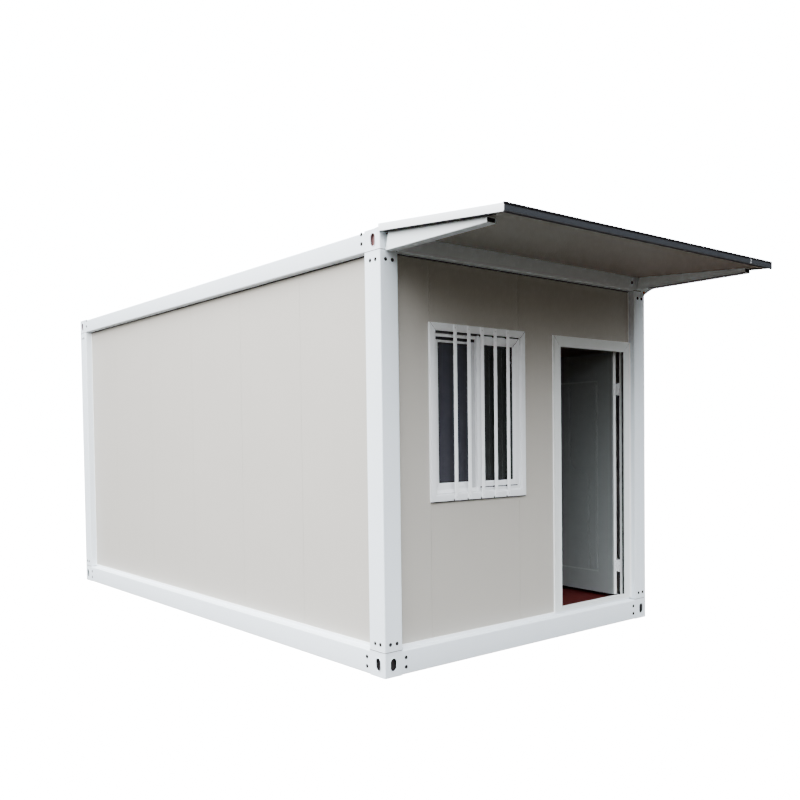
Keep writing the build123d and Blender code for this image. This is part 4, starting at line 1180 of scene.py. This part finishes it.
    def flash_root(self, s, white):
        """A folded strip that laps from the canopy's top down onto the roof frame."""
        top = s.root
        outline = [(-0.012, top + 0.0008), (0, top - 0.002), (0.010, ROOF_TOP + 0.003), (0.050, ROOF_TOP + 0.001),
                   (0.050, ROOF_TOP + 0.0025), (0.012, ROOF_TOP + 0.0045), (0.001, top + 0.0005),
                   (-0.012, top + 0.0022)]
        make("canopy_root_flashing", white, "canopy_white_trim",
             run(eased(outline, 0.0006, 2), (LEFT + 0.002, FRONT, 0), (RIGHT - 0.002, FRONT, 0), INWARD, UP))

    def rivet_trims(self):
        """Domed rivets along the top lips of the trims."""
        s = self.s
        dome = [(0.0045, 0), (0.0042, 0.0010), (0.0028, 0.0019), (0.0004, 0.0021)]
        out, x = np.linspace(0.10, s.reach - 0.05, 5), np.linspace(self.left + 0.12, self.right - 0.12, 9)
        spots = np.array([(edge, distance) for edge in (self.left + 0.015, self.right - 0.015) for distance in out]
                         + [(place, s.reach - 0.015) for place in x])
        places = np.column_stack([spots[:, 0], FRONT - spots[:, 1], self.height(spots[:, 0], spots[:, 1])])
        rivet = zinc("canopy_rivet", (0.60, 0.61, 0.62))
        make("canopy_rivets", rivet, "canopy_white_trim", turned(dome, places, (0, -s.fall / s.reach, 1), 12))


class RoofSettings(bpy.types.PropertyGroup):
    """The ribbed roof sheet."""

    sheet: color_setting("Roof Sheet", "Colour of the roof sheet", (0.50, 0.53, 0.55))
    rib_pitch: length_setting("Rib Pitch", "Distance between ribs", 0.190)
    purlins: bpy.props.IntProperty(name="Purlins", description="Number of purlins", default=5, min=1)


class OBJECT_OT_house_roof(bpy.types.Operator):
    """Weather the roof sheet, screw it down through its ribs and seal it along the side beams"""

    bl_idname = "house.roof"
    bl_label = "Roof"

    def execute(self, context):
        s = context.scene.house_roof
        dress(weathered_roof("roof_sheet", s.sheet), "roof_sheet")
        low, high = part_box("roof_sheet")
        span = (REAR - POST_DEPTH) - (FRONT + POST_DEPTH)
        lines = FRONT + POST_DEPTH + span * (np.arange(s.purlins) + 0.5) / s.purlins
        count = int((high.x - low.x) // s.rib_pitch)
        ribs = (np.arange(count) - (count - 1) / 2) * s.rib_pitch
        x, y = np.meshgrid(ribs, lines)
        places = np.column_stack([x.ravel(), y.ravel(), np.full(x.size, high.z)])
        washer = [(0.0095, -0.0005), (0.0095, 0.0008), (0.0080, 0.0022), (0.0050, 0.0026)]
        head = [(0.0068, 0.0020), (0.0068, 0.0030), (0.0046, 0.0031), (0.0046, 0.0080), (0.0030, 0.0088),
                (0.0003, 0.0088)]
        make("roof_washers", black_rubber("roof_washer", (0.03, 0.03, 0.03)), "roof_skin",
             turned(washer, places, UP, 12))
        make("roof_screws", zinc("roof_screw", (0.58, 0.59, 0.60)), "roof_skin", turned(head, places, UP, 6))
        mastic = black_rubber("roof_mastic", (0.09, 0.09, 0.095))
        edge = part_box("roof_beam_left")
        rod, level = disc(0.005, 8), edge[1].z - 0.002
        lip = context.scene.house_frame.roof_lip
        a, b = LEFT + lip, RIGHT - lip
        rows = [run(rod, (x, FRONT + POST_DEPTH, level), (x, REAR - POST_DEPTH, level), ACROSS, UP)
                for x in (a, b)]
        make("roof_mastic_lines", mastic, "roof_skin", *rows)
        return {"FINISHED"}


class InsideSettings(bpy.types.PropertyGroup):
    """The floor, the ceiling and the steel that carries them."""

    floor: color_setting("Floor Covering", "Colour of the sheet floor", (0.052, 0.0035, 0.0030))
    ceiling: color_setting("Ceiling", "Colour of the ceiling", (0.70, 0.70, 0.68))
    primer: color_setting("Primer", "Colour of joists and purlins", (0.30, 0.31, 0.32))
    strip_pitch: length_setting("Ceiling Joint Pitch", "Distance between ceiling joints", 0.855)


class OBJECT_OT_house_inside(bpy.types.Operator):
    """Lay the floor covering, joint the ceiling and prime the joists and purlins"""

    bl_idname = "house.inside"
    bl_label = "Floor and Ceiling"

    def execute(self, context):
        s = context.scene.house_inside
        dress(vinyl_floor("floor_covering", s.floor), "floor_board")
        dress(coated_skin("ceiling_skin", s.ceiling, roughness=0.5), "ceiling")
        dress(primed_steel("primed_steel", s.primer), "floor_joists", "roof_purlins")
        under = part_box("ceiling")[0].z
        a, b = LEFT + POST_WIDTH + 0.002, RIGHT - POST_WIDTH - 0.002
        rows = np.arange(FRONT + POST_DEPTH + s.strip_pitch, REAR - POST_DEPTH - 0.3, s.strip_pitch)
        strips = [block((a, y - 0.014, under - 0.0025), (b, y + 0.014, under + 0.0003), 0.001) for y in rows]
        make("ceiling_joint_strips", smooth_plastic("ceiling_strip", s.ceiling), "ceiling_skin", *strips)
        return {"FINISHED"}


class StageSettings(bpy.types.PropertyGroup):
    """The floor, the light and the camera."""

    camera_place: bpy.props.FloatVectorProperty(
        name="Camera Place", description="Where the camera stands",
        default=(-4.685, -6.25, 1.51), subtype="XYZ", unit="LENGTH")
    camera_yaw: bpy.props.FloatProperty(
        name="Yaw", description="Turn of the view from straight ahead towards the right",
        default=math.radians(39.60), subtype="ANGLE")
    camera_pitch: bpy.props.FloatProperty(
        name="Pitch", description="Rise of the view above the horizon",
        default=math.radians(-1.80), subtype="ANGLE")
    camera_roll: bpy.props.FloatProperty(
        name="Roll", description="Lean of the camera to its right",
        default=math.radians(-0.72), subtype="ANGLE")
    lens: bpy.props.FloatProperty(
        name="Lens", description="Focal length on a 36 mm sensor in millimetres", default=38.7, min=10)
    shift: bpy.props.FloatProperty(
        name="Vertical Shift", description="Rise of the picture over the line of sight", default=0.08)
    floor_color: color_setting("Floor", "Colour of the studio floor", (0.9, 0.9, 0.9))
    floor_glow: bpy.props.FloatProperty(
        name="Floor Glow", description="Light of the floor board itself", default=15.0, min=0)
    backdrop: bpy.props.FloatProperty(
        name="Backdrop", description="Brightness of the studio's walls as the camera sees them", default=17.0, min=0)
    sky_light: bpy.props.FloatProperty(
        name="Sky Light", description="Strength of the soft light straight above", default=12.6, min=0)
    low_light: bpy.props.FloatProperty(
        name="Low Light", description="Strength of the even light from all round and below", default=0.14, min=0)
    right_light: bpy.props.FloatProperty(
        name="Right Light", description="Share of the soft light that comes from the right", default=0.10, min=0, max=1)
    key_power: bpy.props.FloatProperty(
        name="Key Light", description="Power of the large lamp on the left", default=1000.0, min=0, unit="POWER")
    key_place: bpy.props.FloatVectorProperty(
        name="Key Place", description="Where the large lamp hangs", default=(-7.5, -0.6, 5.2), subtype="XYZ",
                                             unit="LENGTH")
    key_size: length_setting("Key Size", "Side of the large lamp", 4.0)


class OBJECT_OT_house_stage(bpy.types.Operator):
    """Lay the floor, set the lights and aim the camera"""

    bl_idname = "house.stage"
    bl_label = "Stage"

    def execute(self, context):
        s = context.scene.house_stage
        self.aim_camera(context, s)
        self.lay_floor(context, s)
        self.light_sky(context, s)
        self.hang_lamp(context, s)
        return {"FINISHED"}

    def aim_camera(self, context, s):
        data = bpy.data.cameras.new("house_camera")
        data.sensor_width = 36
        data.lens = s.lens
        data.shift_y = s.shift
        camera = bpy.data.objects.new("house_camera", data)
        context.scene.collection.objects.link(camera)
        yaw, pitch, roll = s.camera_yaw, s.camera_pitch, s.camera_roll
        forward = Vector((math.sin(yaw) * math.cos(pitch), math.cos(yaw) * math.cos(pitch), math.sin(pitch)))
        level = Vector((math.cos(yaw), -math.sin(yaw), 0))
        rise = level.cross(forward)
        right = math.cos(roll) * level + math.sin(roll) * rise
        up = -math.sin(roll) * level + math.cos(roll) * rise
        camera.matrix_world = Matrix.Translation(s.camera_place) @ Matrix((right, up, -forward)).transposed().to_4x4()
        context.scene.camera = camera

    def lay_floor(self, context, s):
        size = 300.0
        mesh = bpy.data.meshes.new("studio_floor")
        mesh.from_pydata([(-size, -size, 0), (size, -size, 0), (size, size, 0), (-size, size, 0)], [], [(0, 1, 2, 3)])
        mesh.materials.append(studio_board("studio_floor", s.floor_color, s.floor_glow))
        floor = bpy.data.objects.new("studio_floor", mesh)
        floor.visible_diffuse = False
        floor.visible_glossy = False
        context.scene.collection.objects.link(floor)

    def light_sky(self, context, s):
        """Soft cool light that grows from nothing at the horizon to full strength overhead and is weaker on the right,
        a little warm light from all round, and a white wall where the camera looks past the house."""
        world = bpy.data.worlds.new("studio")
        world.use_nodes = True
        sky = NodeBench(world.node_tree)
        direction = sky.node("TexCoord", output="Generated")
        height, across = (sky.node("SeparateXYZ", sockets={0: direction}, output=axis) for axis in "ZX")
        smooth = {"interpolation_type": "SMOOTHSTEP"}
        rise = sky.node("MapRange", smooth, {"Value": height, "From Min": 0.0, "From Max": 1.0})
        fade = sky.node("MapRange", smooth,
                        {"Value": across, "From Min": 0.05, "From Max": 0.5, "To Min": 1.0, "To Max": s.right_light})
        seen = sky.node("LightPath", output="Is Camera Ray")
        strength = (rise * fade * s.sky_light + s.low_light) * (1 - seen) + seen * s.backdrop
        tint = {0: (rise * 6 + seen).clamped(), 6: (1.0, 0.95, 0.84, 1.0), 7: (0.96, 1.0, 1.05, 1.0)}
        color = sky.node("Mix", {"data_type": "RGBA"}, tint, output=2)
        sky.feed(world.node_tree.nodes["Background"], {"Color": color, "Strength": strength})
        context.scene.world = world

    def hang_lamp(self, context, s):
        data = bpy.data.lights.new("key_lamp", "AREA")
        data.energy, data.size = s.key_power, s.key_size
        lamp = bpy.data.objects.new("key_lamp", data)
        lamp.location = s.key_place
        lamp.rotation_euler = (Vector((0, 0, 1.2)) - Vector(s.key_place)).to_track_quat("-Z", "Y").to_euler()
        context.scene.collection.objects.link(lamp)


class VIEW3D_PT_house(bpy.types.Panel):
    """Lists the operators in the order in which they run"""

    bl_idname = "VIEW3D_PT_house"
    bl_label = "Container House"
    bl_space_type = "VIEW_3D"
    bl_region_type = "UI"
    bl_category = "House"

    def draw(self, context):
        for operator in OPERATORS:
            self.layout.operator(operator.bl_idname)
        for name in SETTINGS:
            box = self.layout.box()
            settings = getattr(context.scene, name)
            for prop in settings.bl_rna.properties:
                if not prop.is_readonly and prop.identifier != "name":
                    box.prop(settings, prop.identifier)


OPERATORS = (OBJECT_OT_house_frame, OBJECT_OT_house_fasteners, OBJECT_OT_house_walls, OBJECT_OT_house_window,
             OBJECT_OT_house_door, OBJECT_OT_house_canopy, OBJECT_OT_house_roof, OBJECT_OT_house_inside,
             OBJECT_OT_house_stage)
SETTINGS = {"house_frame": FrameSettings, "house_walls": WallSettings, "house_window": WindowSettings,
            "house_door": DoorSettings, "house_canopy": CanopySettings, "house_roof": RoofSettings,
            "house_inside": InsideSettings, "house_stage": StageSettings}


def register():
    for cls in (*SETTINGS.values(), *OPERATORS, VIEW3D_PT_house):
        bpy.utils.register_class(cls)
    for name, group in SETTINGS.items():
        setattr(bpy.types.Scene, name, bpy.props.PointerProperty(type=group))


def unregister():
    for name in SETTINGS:
        delattr(bpy.types.Scene, name)
    for cls in reversed((*SETTINGS.values(), *OPERATORS, VIEW3D_PT_house)):
        bpy.utils.unregister_class(cls)


def main():
    register()
    for operator in OPERATORS:
        group, action = operator.bl_idname.split(".")
        getattr(getattr(bpy.ops, group), action)()


if __name__ == "__main__":
    main()
